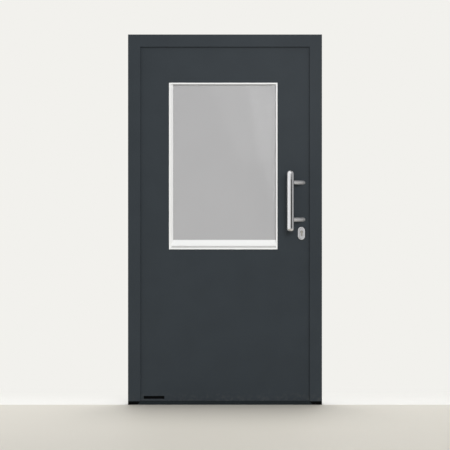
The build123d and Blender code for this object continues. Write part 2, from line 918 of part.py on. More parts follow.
with BuildPart() as leaf_bottom_seal:
    with BuildSketch(across((leaf_outer_y + leaf_inner_y) / 2 + bottom_seal_thickness / 2)):
        with Locations((0, deck_height + bottom_seal_clearance)):
            Rectangle(
                2 * (body_half - bottom_seal_inset),
                body_bottom - deck_height - bottom_seal_clearance,
                align=centred_up,
            )
    extrude(amount=bottom_seal_thickness)

# Glazing: the carrier lines the hole in the leaf and stops the glass on the outside.
carrier_lining_ring = window_ring(carrier_half, carrier_hole_half, body_outer_y, body_inner_y)
carrier_stop_ring = window_ring(carrier_hole_half, skin_hole_half, body_outer_y, carrier_stop_back)
with BuildPart() as glazing_carrier:
    add([carrier_lining_ring.part, carrier_stop_ring.part])

flange_ring = window_ring(flange_half, reveal_half, trim_front_y, leaf_outer_y)
web_ring = window_ring(web_half, reveal_half, leaf_outer_y, carrier_stop_back)
with BuildPart() as glazing_outer_trim:
    add(flange_ring.part)
    chamfer(glazing_outer_trim.faces().sort_by(Axis.Y)[0].edges(), trim_edge)
    add(web_ring.part)
    # Splayed left reveal
    with BuildSketch(Plane.XY.offset(window_height - web_half[1])):
        reveal_left = window_offset - reveal_half[0]
        Polygon(
            (reveal_left - trim_web, leaf_outer_y),
            (reveal_left, trim_front_y + trim_edge),
            (window_offset + sight_left, carrier_stop_back),
            (reveal_left - trim_web, carrier_stop_back),
            align=None,
        )
    extrude(amount=2 * web_half[1])
    # Groove and sloping sill at the bottom
    with BuildSketch(edge_plane(window_offset - web_half[0])):
        reveal_bottom = window_height - reveal_half[1]
        slope_bottom = reveal_bottom + sill_groove_width
        Polygon(
            (carrier_stop_back, reveal_bottom - trim_web),
            (leaf_outer_y, reveal_bottom - trim_web),
            (leaf_outer_y, reveal_bottom),
            (trim_front_y + sill_groove_floor, reveal_bottom),
            (trim_front_y + sill_groove_floor, slope_bottom),
            (trim_front_y + sill_nose, slope_bottom),
            (carrier_stop_back, slope_bottom + sill_slope_height),
            align=None,
        )
    extrude(amount=2 * web_half[0])
    with BuildSketch(Plane.XY.offset(reveal_bottom - trim_web)):
        with Locations((window_offset, (leaf_outer_y + trim_front_y + sill_groove_floor) / 2)):
            with GridLocations(drain_slot_pitch, 0, drain_slot_count, 1):
                Rectangle(drain_slot_length, drain_slot_width)
    extrude(amount=trim_web, mode=Mode.SUBTRACT)

inner_flange_ring = window_ring(
    inner_flange_half, reveal_half, leaf_inner_y, leaf_inner_y + inner_flange_thickness
)
inner_leg_ring = window_ring(glass_half, reveal_half, inner_gasket_back, leaf_inner_y)
with BuildPart() as glazing_inner_trim:
    add(inner_flange_ring.part)
    chamfer(glazing_inner_trim.faces().sort_by(Axis.Y)[-1].edges(), trim_edge)
    add(inner_leg_ring.part)

pane_names = ("outer", "middle", "inner")[:pane_count]
glass_panes = {}
for index, name in enumerate(pane_names):
    pane_back = glass_outer_y + pane_thickness + index * (pane_thickness + pane_gap)
    with BuildPart() as pane:
        with BuildSketch(window_plane(pane_back)):
            Rectangle(2 * glass_half[0], 2 * glass_half[1])
        extrude(amount=pane_thickness)
    glass_panes[name] = pane

spacer_half = tuple(half - edge_seal_width for half in glass_half)
spacer_hole_half = tuple(half - spacer_width for half in spacer_half)
gap_fronts = [
    glass_outer_y + pane_thickness + index * (pane_thickness + pane_gap) for index in range(pane_count - 1)
]
spacer_rings = [
    window_ring(spacer_half, spacer_hole_half, front, front + pane_gap) for front in gap_fronts
]
seal_rings = [window_ring(glass_half, spacer_half, front, front + pane_gap) for front in gap_fronts]
with BuildPart() as glass_spacer_bars:
    add([ring.part for ring in spacer_rings])
with BuildPart() as glass_edge_seal:
    add([ring.part for ring in seal_rings])

# The outer gasket is wider under the splayed and the sloping side of the trim.
gasket_left = sight_left - gasket_margin
gasket_right = reveal_half[0] + gasket_margin
gasket_low = sight_bottom - gasket_margin
gasket_high = reveal_half[1] + gasket_margin
inner_gasket_ring = window_ring(
    glass_half, (gasket_right, gasket_high), glass_inner_y, inner_gasket_back
)
with BuildPart() as glazing_gaskets:
    with BuildSketch(window_plane(glass_outer_y)):
        Rectangle(2 * glass_half[0], 2 * glass_half[1])
        with Locations((gasket_left, gasket_low)):
            Rectangle(
                gasket_right - gasket_left,
                gasket_high - gasket_low,
                align=Align.MIN,
                mode=Mode.SUBTRACT,
            )
    extrude(amount=glazing_gasket)
    add(inner_gasket_ring.part)

with BuildPart() as glass_setting_blocks:
    with BuildSketch(window_plane(glass_inner_y)):
        block_rise = glass_half[1] - setting_block_length
        block_run = glass_half[0] - setting_block_length
        with Locations((0, -glass_half[1] - glass_edge_gap / 2)):
            with GridLocations(2 * block_run, 0, 2, 1):
                Rectangle(setting_block_length, glass_edge_gap)
        with GridLocations(2 * glass_half[0] + glass_edge_gap, 2 * block_rise, 2, 2):
            Rectangle(glass_edge_gap, setting_block_length)
    extrude(amount=glass_inner_y - glass_outer_y)

# Lock
with BuildPart() as lock_faceplate:
    with BuildSketch(edge_plane(faceplate_back)):
        with Locations((lock_y, faceplate_middle)):
            Rectangle(faceplate_width, faceplate_top - faceplate_bottom)
    extrude(amount=faceplate_thickness)
    with BuildSketch(edge_plane(faceplate_back)):
        draw_slots(bolt_slots, bolt_clearance)
    extrude(amount=faceplate_thickness, mode=Mode.SUBTRACT)
    cut_seats(plate_screw, faceplate_seats)
    cut_seats(cylinder_screw, [cylinder_screw_seat])

latch_back = leaf_half + latch_throw - latch_length
deadbolt_back = leaf_half - bolt_setback - deadbolt_length
cam_back = lock_y + cam_width / 2

with BuildPart() as lock_main_case:
    with BuildSketch(across(case_back_y)):
        draw_case(main_case_back, main_case_bottom, main_case_top)
    extrude(amount=case_thickness)
    # Chambers of the latch bolt, which needs its travel behind it, and of the deadbolt
    with BuildSketch(edge_plane(latch_back - latch_throw - bolt_clearance)):
        with Locations((lock_y, latch_height_centre)):
            Rectangle(latch_thickness + 2 * bolt_clearance, latch_height + 2 * bolt_clearance)
    extrude(amount=main_case_depth, mode=Mode.SUBTRACT)
    with BuildSketch(edge_plane(deadbolt_back - bolt_clearance)):
        with Locations((lock_y, deadbolt_height_centre)):
            Rectangle(deadbolt_thickness + 2 * bolt_clearance, deadbolt_height + 2 * bolt_clearance)
    extrude(amount=main_case_depth, mode=Mode.SUBTRACT)
    # Cylinder passage and the space that its cam turns in
    with BuildSketch(across(case_back_y)):
        draw_cylinder_profile(plug_clearance)
    extrude(amount=case_thickness, mode=Mode.SUBTRACT)
    cut_seats(through_screw, escutcheon_seats)
    with BuildSketch(across(cam_back + bolt_clearance)):
        with Locations((lock_x, cylinder_height)):
            Rectangle(2 * (cam_reach + bolt_clearance), 2 * (cam_reach + bolt_clearance))
    extrude(amount=cam_width + 2 * bolt_clearance, mode=Mode.SUBTRACT)
    # Follower space, open towards the inside where the spindle enters
    follower_space = 2 * (follower_radius + follower_clearance)
    with BuildSketch(across(case_back_y - case_wall)):
        with Locations((lock_x, spindle_height)):
            Rectangle(follower_space, follower_space)
    extrude(amount=case_thickness - 2 * case_wall, mode=Mode.SUBTRACT)
    with BuildSketch(across(case_back_y)):
        draw_spindle_pocket()
    extrude(amount=case_wall, mode=Mode.SUBTRACT)
    # Channels where the drive rods enter at the top and the bottom
    with BuildSketch(edge_plane(rod_back)):
        for bottom in (main_case_bottom, main_case_top - rod_entry - rod_clearance):
            with Locations((lock_y, bottom)):
                Rectangle(rod_width + 2 * rod_clearance, rod_entry + rod_clearance, align=centred_up)
    extrude(amount=faceplate_back - rod_back, mode=Mode.SUBTRACT)
    cut_seats(plate_screw, [faceplate_seats[2]])
    cut_seats(cylinder_screw, [cylinder_screw_seat])


def hook_case(height, rod_bottom, rod_top, seat):
    """Auxiliary case with a slot for the hook, its pivot pin and a channel for the drive rod."""
    with BuildPart() as case:
        with BuildSketch(across(case_back_y)):
            draw_case(hook_case_back, height - hook_case_below, height + hook_case_above)
        extrude(amount=case_thickness)
        with BuildSketch(across(lock_y + hook_thickness / 2 + bolt_clearance)):
            with Locations((hook_pivot_x - hook_half_width - hook_slot_margin, height + hook_slot_bottom)):
                Rectangle(
                    hook_pivot_depth + hook_half_width,
                    hook_slot_top - hook_slot_bottom,
                    align=Align.MIN,
                )
        extrude(amount=hook_thickness + 2 * bolt_clearance, mode=Mode.SUBTRACT)
        with BuildSketch(edge_plane(rod_back)):
            with Locations((lock_y, rod_bottom)):
                Rectangle(rod_width + 2 * rod_clearance, rod_top - rod_bottom, align=centred_up)
        extrude(amount=faceplate_back - rod_back, mode=Mode.SUBTRACT)
        with BuildSketch(across(case_back_y)):
            with Locations((hook_pivot_x, height)):
                Circle(hook_pivot_radius)
        extrude(amount=case_thickness)
        cut_seats(plate_screw, [seat])
    return case


lower_hook_case = hook_case(
    hook_heights[0],
    hook_heights[0] + hook_slot_top,
    hook_heights[0] + hook_case_above,
    faceplate_seats[1],
)
upper_hook_case = hook_case(
    hook_heights[1],
    hook_heights[1] - hook_case_below,
    hook_heights[1] + hook_slot_bottom,
    faceplate_seats[3],
)
with BuildPart() as hook_cases:
    add([lower_hook_case.part, upper_hook_case.part])

with BuildPart() as latch_bolt:
    with BuildSketch(Plane.XY.offset(latch_bottom)):
        flat_y = lock_y + latch_thickness / 2
        Polygon(
            (latch_back, flat_y),
            (latch_back, flat_y - latch_thickness),
            (leaf_half + bolt_setback, flat_y - latch_thickness),
            (leaf_half + latch_throw, flat_y - latch_nose),
            (leaf_half + latch_throw, flat_y),
            align=None,
        )
    extrude(amount=latch_height)

with BuildPart() as deadbolt:
    with BuildSketch(edge_plane(deadbolt_back)):
        with Locations((lock_y, deadbolt_height_centre)):
            Rectangle(deadbolt_thickness, deadbolt_height)
    extrude(amount=deadbolt_length)
    chamfer(deadbolt.faces().sort_by(Axis.X)[-1].edges(), bolt_setback)


def hook(height):
    """Hook bolt that hangs down inside its case and swings out into the strike."""
    with BuildPart() as bolt:
        with BuildSketch(across(lock_y + hook_thickness / 2)):
            with Locations((hook_pivot_x, height)):
                Circle(hook_half_width)
                Rectangle(2 * hook_half_width, hook_reach, align=(Align.CENTER, Align.MAX))
            with Locations((hook_pivot_x + hook_half_width, height - hook_reach)):
                Rectangle(hook_nose_width, hook_nose_length, align=Align.MIN)
            with Locations((hook_pivot_x, height)):
                Circle(hook_pivot_radius + bolt_clearance, mode=Mode.SUBTRACT)
        extrude(amount=hook_thickness)
    return bolt


hook_lower = hook(hook_heights[0])
hook_upper = hook(hook_heights[1])


def drive_rod(span):
    """Flat rod behind the faceplate."""
    bottom, top = span
    with BuildPart() as rod:
        with BuildSketch(edge_plane(rod_back + rod_clearance)):
            with Locations((lock_y, bottom)):
                Rectangle(rod_width, top - bottom, align=centred_up)
        extrude(amount=rod_thickness)
    return rod


drive_rod_lower = drive_rod(rod_spans[0])
drive_rod_upper = drive_rod(rod_spans[1])

# Cylinder body, cut through in the middle for the cam, and the plug that turns in it
with BuildPart() as cylinder_body:
    with BuildSketch(across(cylinder_inner_y)):
        draw_cylinder_profile(0)
        with Locations((lock_x, cylinder_height)):
            Circle(plug_radius + plug_clearance, mode=Mode.SUBTRACT)
    extrude(amount=cylinder_inner_y - cylinder_outer_y)
    with BuildSketch(across(cam_back + bolt_clearance)):
        with Locations((lock_x, cylinder_height - cam_reach - bolt_clearance)):
            Rectangle(2 * cam_reach, 2 * cam_reach, align=centred_up)
    extrude(amount=cam_width + 2 * bolt_clearance, mode=Mode.SUBTRACT)
    cut_seats(cylinder_screw, [cylinder_screw_seat])

with BuildPart() as cylinder_plug:
    with BuildSketch(across(cylinder_inner_y)):
        with Locations((lock_x, cylinder_height)):
            Circle(plug_radius)
    extrude(amount=cylinder_inner_y - cylinder_outer_y)
    with BuildSketch(across(cam_back)):
        with Locations((lock_x, cylinder_height)):
            Rectangle(2 * cam_half_width, cam_reach - cam_half_width, align=(Align.CENTER, Align.MAX))
        with Locations((lock_x, cylinder_height - cam_reach + cam_half_width)):
            Circle(cam_half_width)
    extrude(amount=cam_width)
    with BuildSketch(across(cylinder_outer_y)):
        with Locations((lock_x, cylinder_height)):
            Rectangle(keyway_width, keyway_height)
    extrude(amount=-keyway_depth, mode=Mode.SUBTRACT)
    with BuildSketch(across(cylinder_inner_y)):
        with Locations((lock_x, cylinder_height)):
            Rectangle(keyway_width, keyway_height)
    extrude(amount=keyway_depth, mode=Mode.SUBTRACT)

with BuildPart() as outer_escutcheon:
    with BuildSketch(across(leaf_outer_y)):
        draw_escutcheon(0)
    extrude(amount=escutcheon_thickness)
    chamfer(outer_escutcheon.faces().sort_by(Axis.Y)[0].edges(), escutcheon_edge)
    with BuildSketch(across(leaf_outer_y - escutcheon_thickness)):
        draw_escutcheon(escutcheon_rim)
    extrude(amount=-escutcheon_recess, mode=Mode.SUBTRACT)
    with BuildSketch(across(leaf_outer_y)):
        draw_cylinder_profile(plug_clearance)
    extrude(amount=escutcheon_thickness, mode=Mode.SUBTRACT)
    cut_seats(through_screw, escutcheon_seats)

with BuildPart() as inner_escutcheon:
    with BuildSketch(across(leaf_inner_y)):
        draw_escutcheon(0)
    extrude(amount=-inner_escutcheon_thickness)
    chamfer(inner_escutcheon.faces().sort_by(Axis.Y)[-1].edges(), escutcheon_edge)
    with BuildSketch(across(leaf_inner_y)):
        draw_cylinder_profile(plug_clearance)
    extrude(amount=-inner_escutcheon_thickness, mode=Mode.SUBTRACT)
    cut_seats(through_screw, escutcheon_seats)

# Pull bar with round ends, on two legs that run back and sideways to the leaf
pull_plane = Plane(
    origin=(pull_axis_x, pull_axis_y, pull_centre_height), x_dir=(1, 0, 0), z_dir=(0, -1, 0)
)
with BuildPart() as pull_bar:
    with BuildSketch(pull_plane):
        with BuildLine():
            straight = pull_length / 2 - pull_radius
            Line((0, -pull_length / 2), (0, pull_length / 2))
            CenterArc((0, straight), pull_radius, 0, 90)
            Line((pull_radius, straight), (pull_radius, -straight))
            CenterArc((0, -straight), pull_radius, 270, 90)
        make_face()
    revolve(axis=Axis((pull_axis_x, pull_axis_y, 0), (0, 0, 1)))

with BuildPart() as pull_standoffs:
    for height in pull_leg_heights:
        with BuildSketch(Plane(origin=(pull_axis_x, pull_axis_y, height), z_dir=(1, 1, 0))):
            Circle(pull_leg_radius)
        extrude(amount=2 * pull_standoff)
    split(bisect_by=across(leaf_outer_y), keep=Keep.TOP)
    with BuildSketch(Plane.XY.offset(pull_centre_height - pull_length / 2)):
        with Locations((pull_axis_x, pull_axis_y)):
            Circle(pull_radius)
    extrude(amount=pull_length, mode=Mode.SUBTRACT)
    with BuildSketch(across(leaf_outer_y + pull_stud_depth)):
        draw_pull_studs()
    extrude(amount=pull_stud_depth)

# Lever handle inside, its rose and the spindle with the follower that it turns
with BuildPart() as lever_rose:
    with BuildSketch(across(leaf_inner_y)):
        with Locations((lock_x, spindle_height)):
            Circle(rose_radius)
    extrude(amount=-rose_thickness)
    chamfer(lever_rose.faces().sort_by(Axis.Y)[-1].edges(), rose_edge)
    with BuildSketch(across(leaf_inner_y)):
        with Locations((lock_x, spindle_height)):
            Circle(lever_radius + lever_clearance)
    extrude(amount=-rose_thickness, mode=Mode.SUBTRACT)

lever_neck_y = leaf_inner_y + lever_clearance
lever_grip_y = leaf_inner_y + lever_standoff

with BuildPart() as lever_handle:
    with BuildLine(Plane.XY.offset(spindle_height)):
        Polyline((lock_x, lever_neck_y), (lock_x, lever_grip_y), (lock_x - lever_reach, lever_grip_y))
    with BuildSketch(across(lever_neck_y)):
        with Locations((lock_x, spindle_height)):
            Circle(lever_radius)
    sweep(transition=Transition.RIGHT)
    chamfer(lever_handle.faces().sort_by(Axis.X)[0].edges(), lever_end_edge)
    with BuildSketch(across(lever_neck_y)):
        with Locations((lock_x, spindle_height)):
            Rectangle(spindle_size, spindle_size)
    extrude(amount=lever_neck_y - lever_grip_y + lever_socket_margin, mode=Mode.SUBTRACT)

follower_front = lock_y - case_thickness / 2 + case_wall + follower_clearance
follower_back = case_back_y - case_wall - follower_clearance
with BuildPart() as lever_spindle:
    with BuildSketch(across(lever_grip_y - lever_socket_margin)):
        with Locations((lock_x, spindle_height)):
            Rectangle(spindle_size, spindle_size)
    extrude(amount=lever_grip_y - lever_socket_margin - follower_front)
    with BuildSketch(across(follower_back)):
        with Locations((lock_x, spindle_height)):
            Circle(follower_radius)
    extrude(amount=follower_back - follower_front)

with BuildPart() as leaf_screws:
    with Locations(*faceplate_seats):
        add(plate_screw.part)
    with Locations(*escutcheon_seats):
        add(through_screw.part)
    with Locations(cylinder_screw_seat):
        add(cylinder_screw.part)

pieces = {
    "head_outer_shell": head_outer_shell,
    "head_inner_shell": head_inner_shell,
    "hinge_jamb_outer_shell": hinge_jamb_outer_shell,
    "hinge_jamb_inner_shell": hinge_jamb_inner_shell,
    "lock_jamb_outer_shell": lock_jamb_outer_shell,
    "lock_jamb_inner_shell": lock_jamb_inner_shell,
    "insulating_bars": insulating_bars,
    "corner_cleats": corner_cleats,
    "threshold_rail": threshold_rail,
    "threshold_core": threshold_core,
    "threshold_end_block_hinge_side": threshold_end_block_hinge_side,
    "threshold_end_block_lock_side": threshold_end_block_lock_side,
    "frame_gasket": frame_gasket,
    "main_strike": main_strike,
    "hook_strikes": hook_strikes,
    "hinge_pins": hinge_pins,
    "frame_screws": frame_screws,
    "leaf_outer_skin": leaf_outer_skin,
    "leaf_inner_skin": leaf_inner_skin,
    "leaf_hinge_stile": leaf_hinge_stile,
    "leaf_lock_stile": leaf_lock_stile,
    "leaf_rails": leaf_rails,
    "leaf_core": leaf_core,
    "leaf_bottom_seal": leaf_bottom_seal,
    "leaf_screws": leaf_screws,
    "glazing_carrier": glazing_carrier,
    "glazing_outer_trim": glazing_outer_trim,
    "glazing_inner_trim": glazing_inner_trim,
    "glass_spacer_bars": glass_spacer_bars,
    "glass_edge_seal": glass_edge_seal,
    "glazing_gaskets": glazing_gaskets,
    "glass_setting_blocks": glass_setting_blocks,
    "lock_faceplate": lock_faceplate,
    "lock_main_case": lock_main_case,
    "hook_cases": hook_cases,
    "latch_bolt": latch_bolt,
    "deadbolt": deadbolt,
    "hook_lower": hook_lower,
    "hook_upper": hook_upper,
    "drive_rod_lower": drive_rod_lower,
    "drive_rod_upper": drive_rod_upper,
    "cylinder_body": cylinder_body,
    "cylinder_plug": cylinder_plug,
    "outer_escutcheon": outer_escutcheon,
    "inner_escutcheon": inner_escutcheon,
    "pull_bar": pull_bar,
    "pull_standoffs": pull_standoffs,
    "lever_rose": lever_rose,
    "lever_handle": lever_handle,
    "lever_spindle": lever_spindle,
}
for name, piece in hinge_frame_parts.items():
    pieces[f"hinge_frame_part_{name}"] = piece
for name, piece in hinge_leaf_parts.items():
    pieces[f"hinge_leaf_part_{name}"] = piece
for name, piece in glass_panes.items():
    pieces[f"glass_{name}_pane"] = piece

os.makedirs("parts", exist_ok=True)
for name, piece in pieces.items():
    save(piece, name)
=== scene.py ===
import json
import math

import bmesh
import bpy
import numpy as np
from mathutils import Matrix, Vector


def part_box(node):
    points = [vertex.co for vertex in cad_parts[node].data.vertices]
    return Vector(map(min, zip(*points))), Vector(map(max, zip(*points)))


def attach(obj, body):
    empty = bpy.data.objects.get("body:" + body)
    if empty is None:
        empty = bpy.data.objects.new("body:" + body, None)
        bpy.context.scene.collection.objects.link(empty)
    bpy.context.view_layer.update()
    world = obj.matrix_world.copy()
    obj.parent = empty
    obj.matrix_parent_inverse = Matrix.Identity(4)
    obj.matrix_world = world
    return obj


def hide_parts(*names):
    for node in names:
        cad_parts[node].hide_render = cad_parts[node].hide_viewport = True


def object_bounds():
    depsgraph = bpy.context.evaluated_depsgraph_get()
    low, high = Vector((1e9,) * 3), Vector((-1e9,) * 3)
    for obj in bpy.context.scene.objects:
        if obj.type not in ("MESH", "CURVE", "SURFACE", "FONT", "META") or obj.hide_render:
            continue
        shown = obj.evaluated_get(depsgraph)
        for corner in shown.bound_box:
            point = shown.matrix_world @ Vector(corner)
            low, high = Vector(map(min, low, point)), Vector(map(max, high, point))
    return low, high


# Looks of an entrance door with a tall window. Metres; X right and Y inwards as seen from outside.
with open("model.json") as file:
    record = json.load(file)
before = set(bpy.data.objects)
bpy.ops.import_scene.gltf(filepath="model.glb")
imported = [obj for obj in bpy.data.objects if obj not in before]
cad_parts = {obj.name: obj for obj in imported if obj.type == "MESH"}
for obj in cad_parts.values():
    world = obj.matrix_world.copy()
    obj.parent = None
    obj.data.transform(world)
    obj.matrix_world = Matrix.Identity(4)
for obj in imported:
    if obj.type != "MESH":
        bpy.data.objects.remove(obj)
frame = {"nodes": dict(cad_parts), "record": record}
cad_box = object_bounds()
nodes = frame["nodes"]
door_low, door_high = cad_box
leaf_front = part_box("leaf_outer_skin")[0].y
leaf_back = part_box("leaf_inner_skin")[1].y

# Photo frame: pixels of the door's outer edges in the 450 pixel wide picture
photo_size = 450
photo_left, photo_right = 128.26, 321.75
photo_top, photo_bottom = 34.21, 405.0
door_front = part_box("head_outer_shell")[0].y
door_width = door_high.x - door_low.x
door_height = door_high.z - door_low.z
width_scale = door_width / (photo_right - photo_left)
height_scale = door_height / (photo_bottom - photo_top)
photo_scale = (door_width + door_height) / (photo_right - photo_left + photo_bottom - photo_top)
view_width = photo_size * photo_scale
view_centre_z = door_height / 2 + ((photo_top + photo_bottom) / 2 - photo_size / 2) * photo_scale


def linear(red, green, blue):
    """Linear colour of display values from 0 to 255."""
    levels = np.array([red, green, blue]) / 255
    return tuple(np.where(levels <= 0.04045, levels / 12.92, ((levels + 0.055) / 1.055) ** 2.4))


# Camera
camera_distance = 12.0
camera = bpy.data.objects.new("camera", bpy.data.cameras.new("camera"))
bpy.context.scene.collection.objects.link(camera)
camera.location = (0, door_front - camera_distance, view_centre_z)
camera.rotation_euler = (math.pi / 2, 0, 0)
camera.data.sensor_width = 36
camera.data.lens = camera.data.sensor_width * camera_distance / view_width
camera.data.clip_end = 60
bpy.context.scene.camera = camera
bpy.context.scene.view_settings.view_transform = "Standard"


# Shader maths
class Value:
    """A number in a node tree, so that shader maths reads as plain expressions."""

    def __init__(self, tree, socket):
        self.tree = tree
        self.socket = socket

    def maths(self, operation, first, second=0.0):
        return self.tree.node("ShaderNodeMath", {"operation": operation}, {0: first, 1: second})

    def __add__(self, other):
        return self.maths("ADD", self, other)

    def __radd__(self, other):
        return self.maths("ADD", other, self)

    def __sub__(self, other):
        return self.maths("SUBTRACT", self, other)

    def __rsub__(self, other):
        return self.maths("SUBTRACT", other, self)

    def __mul__(self, other):
        return self.maths("MULTIPLY", self, other)

    def __rmul__(self, other):
        return self.maths("MULTIPLY", other, self)

    def __gt__(self, other):
        return self.maths("GREATER_THAN", self, other)

    def __abs__(self):
        return self.maths("ABSOLUTE", self)

    def ramp(self, low, high):
        """0 below low, 1 above high and a smooth rise between them."""
        settings = {"interpolation_type": "SMOOTHSTEP"}
        return self.tree.node("ShaderNodeMapRange", settings, {"Value": self, 1: low, 2: high})


class Tree:
    """Nodes of a material or of the world."""

    def __init__(self, owner):
        owner.use_nodes = True
        self.owner = owner
        self.nodes = owner.node_tree.nodes
        self.links = owner.node_tree.links

    def connect(self, socket, value):
        if isinstance(value, Value):
            self.links.new(value.socket, socket)
        else:
            socket.default_value = value

    def node(self, kind, settings=None, inputs=None, output=0):
        """Add a node, set it up, fill its inputs with values or links and give back one output."""
        made = self.nodes.new(kind)
        for name, value in (settings or {}).items():
            setattr(made, name, value)
        for name, value in (inputs or {}).items():
            self.connect(made.inputs[name], value)
        return Value(self, made.outputs[output])

    def mix(self, factor, first, second):
        """Blend of two colours."""
        settings = {"data_type": "RGBA"}
        return self.node("ShaderNodeMix", settings, {0: factor, 6: first, 7: second}, 2)


class Finish(Tree):
    """A material with one surface shader, patterned on object coordinates."""

    def __init__(self, name):
        super().__init__(bpy.data.materials.new(name))
        self.shader = self.nodes["Principled BSDF"]
        self.place = self.node("ShaderNodeTexCoord", output="Object")

    def set(self, **values):
        """Fill the shader's sockets; an underscore stands for the space in a socket's name."""
        for name, value in values.items():
            self.connect(self.shader.inputs[name.replace("_", " ")], value)

    def stretched(self, scale):
        """Object coordinates, scaled along each axis."""
        return self.node("ShaderNodeMapping", None, {"Vector": self.place, "Scale": scale})

    def noise(self, scale, detail=2.0, roughness=0.5, along=(1, 1, 1)):
        """Noise from 0 to 1; scale is in features a metre."""
        inputs = {"Vector": self.stretched(along), "Scale": scale, "Detail": detail, "Roughness": roughness}
        return self.node("ShaderNodeTexNoise", None, inputs)

    def cells(self, scale):
        """Distance from the middle of the nearest cell; scale is in cells a metre."""
        return self.node("ShaderNodeTexVoronoi", None, {"Vector": self.place, "Scale": scale}, "Distance")

    def axis(self, index):
        return self.node("ShaderNodeSeparateXYZ", None, {0: self.place}, index)

    def bump(self, height, strength, distance):
        """Relief on the surface; distance is its depth in metres."""
        inputs = {"Height": height, "Strength": strength, "Distance": distance}
        self.connect(self.shader.inputs["Normal"], self.node("ShaderNodeBump", None, inputs))
        return self


def four(colour):
    return (*colour, 1.0)


def shades(colour, factor):
    """The colour and a copy whose brightness is changed by the factor."""
    return four(colour), four(tuple(channel * factor for channel in colour))


# Finishes
def powder_coat(name, colour):
    """Fine-texture powder coat: close grain over a slow orange peel, faint clouds and a trace of dust
    low down."""
    coat = Finish(name)
    plain, lighter = shades(colour, 1.08)
    cloud = coat.noise(6, 3)
    grain = coat.noise(1400, 1)
    peel = coat.noise(260, 2)
    dust = (1.0 - coat.axis(2).ramp(0.01, 0.09)) * coat.noise(45, 4, 0.6).ramp(0.4, 0.75)
    coated = coat.mix(cloud.ramp(0.3, 0.7), plain, lighter)
    coat.set(
        Base_Color=coat.mix(dust * 0.12, coated, four(linear(140, 136, 128))),
        Roughness=0.44 + 0.12 * grain + 0.1 * dust,
        Specular_IOR_Level=0.2,
    )
    return coat.bump(grain * 0.6 + peel * 0.4, 0.3, 0.0003).owner


def anodised(name, colour, lines_along, wear_share):
    """Anodised aluminium: drawing lines along the profile, and the coat rubbed paler in patches."""
    metal = Finish(name)
    plain, rubbed = shades(colour, 1.7)
    stretch = tuple(0.02 if axis == lines_along else 1 for axis in range(3))
    lines = metal.noise(900, 2, 0.6, stretch)
    wear = metal.noise(18, 5, 0.65).ramp(0.5, 0.75)
    metal.set(
        Base_Color=metal.mix(wear * wear_share, plain, rubbed),
        Metallic=0.6,
        Roughness=0.36 + 0.16 * lines,
    )
    return metal.bump(lines, 0.25, 0.00015).owner


def moulded_plastic(name, colour, gloss, grain_depth, shine=0.5):
    """Moulded plastic with a fine eroded grain."""
    plastic = Finish(name)
    plain, lighter = shades(colour, 1.12)
    cloud = plastic.noise(14, 3)
    grain = plastic.noise(1100, 2)
    plastic.set(
        Base_Color=plastic.mix(cloud.ramp(0.35, 0.7), plain, lighter),
        Roughness=gloss + 0.1 * grain,
        Specular_IOR_Level=shine,
    )
    return plastic.bump(grain, 0.3, grain_depth).owner


def white_profile(name, colour, box, flange):
    """White window profile: satin skin, a hairline at each mitred corner and grey painted shade in the
    drained groove, which lies above the flange at the foot of the profile's box."""
    skin = Finish(name)
    plain, soft = shades(colour, 0.985)
    low, high = box
    half_x, half_z = (high.x - low.x) / 2, (high.z - low.z) / 2
    side = abs(skin.axis(0) - (low.x + high.x) / 2) - half_x
    height = skin.axis(2) - (low.z + high.z) / 2
    mitre = 1.0 - abs(side - (abs(height) - half_z)).ramp(0.0002, 0.0006)
    # Painted shade: the groove between the flange and the foot of the slope, deep in the profile, is greyed
    # in the base colour to stand for its shadow.
    under_slope = 1.0 - (height + half_z - flange).ramp(0.010, 0.0115)
    over_flange = (height + half_z - flange).ramp(-0.0005, 0.0005)
    deep = skin.axis(1).ramp(low.y + 0.004, low.y + 0.0075)
    clean = skin.mix(skin.noise(12, 3), plain, soft)
    lined = skin.mix(mitre * 0.35, clean, four(linear(170, 170, 168)))
    skin.set(
        Base_Color=skin.mix(under_slope * over_flange * deep * 0.6, lined, four(linear(176, 176, 174))),
        Roughness=0.28 + 0.1 * skin.noise(500, 2),
        Specular_IOR_Level=0.45,
    )
    return skin.bump(skin.noise(420, 2), 0.15, 0.0001).owner


def rubber(name, colour):
    """Seal rubber: dull, with chalky bloom and faint extrusion lines."""
    seal = Finish(name)
    plain, chalky = shades(colour, 2.4)
    bloom = seal.noise(40, 4, 0.6).ramp(0.45, 0.8)
    skin = seal.noise(700, 2)
    seal.set(
        Base_Color=seal.mix(bloom * 0.5, plain, chalky),
        Roughness=0.62 + 0.2 * bloom,
        Specular_IOR_Level=0.3,
    )
    return seal.bump(skin, 0.25, 0.0002).owner


def brushed_steel(name, colour, lines_along, polish, metallic=1.0):
    """Ground stainless steel: fine grinding lines along one axis over a slow change of sheen."""
    steel = Finish(name)
    plain, darker = shades(colour, 0.86)
    stretch = tuple(0.012 if axis == lines_along else 1 for axis in range(3))
    lines = steel.noise(1900, 2, 0.7, stretch)
    sheen = steel.noise(9, 3)
    steel.set(
        Base_Color=steel.mix(lines.ramp(0.3, 0.75), darker, plain),
        Metallic=metallic,
        Roughness=polish + 0.08 * lines + 0.04 * sheen,
    )
    return steel.bump(lines, 0.1, 0.00003).owner


def zinc_plate(name):
    """Zinc-plated steel with its mottled crystal sheen."""
    zinc = Finish(name)
    cell = zinc.cells(260.0)
    sheen = zinc.noise(35, 3)
    dull, bright = (0.36, 0.37, 0.38, 1), (0.58, 0.58, 0.57, 1)
    zinc.set(
        Base_Color=zinc.mix(cell.ramp(0.1, 0.8) * 0.6 + sheen * 0.4, dull, bright),
        Metallic=1.0,
        Roughness=0.32 + 0.2 * sheen,
    )
    return zinc.bump(cell, 0.1, 0.0001).owner


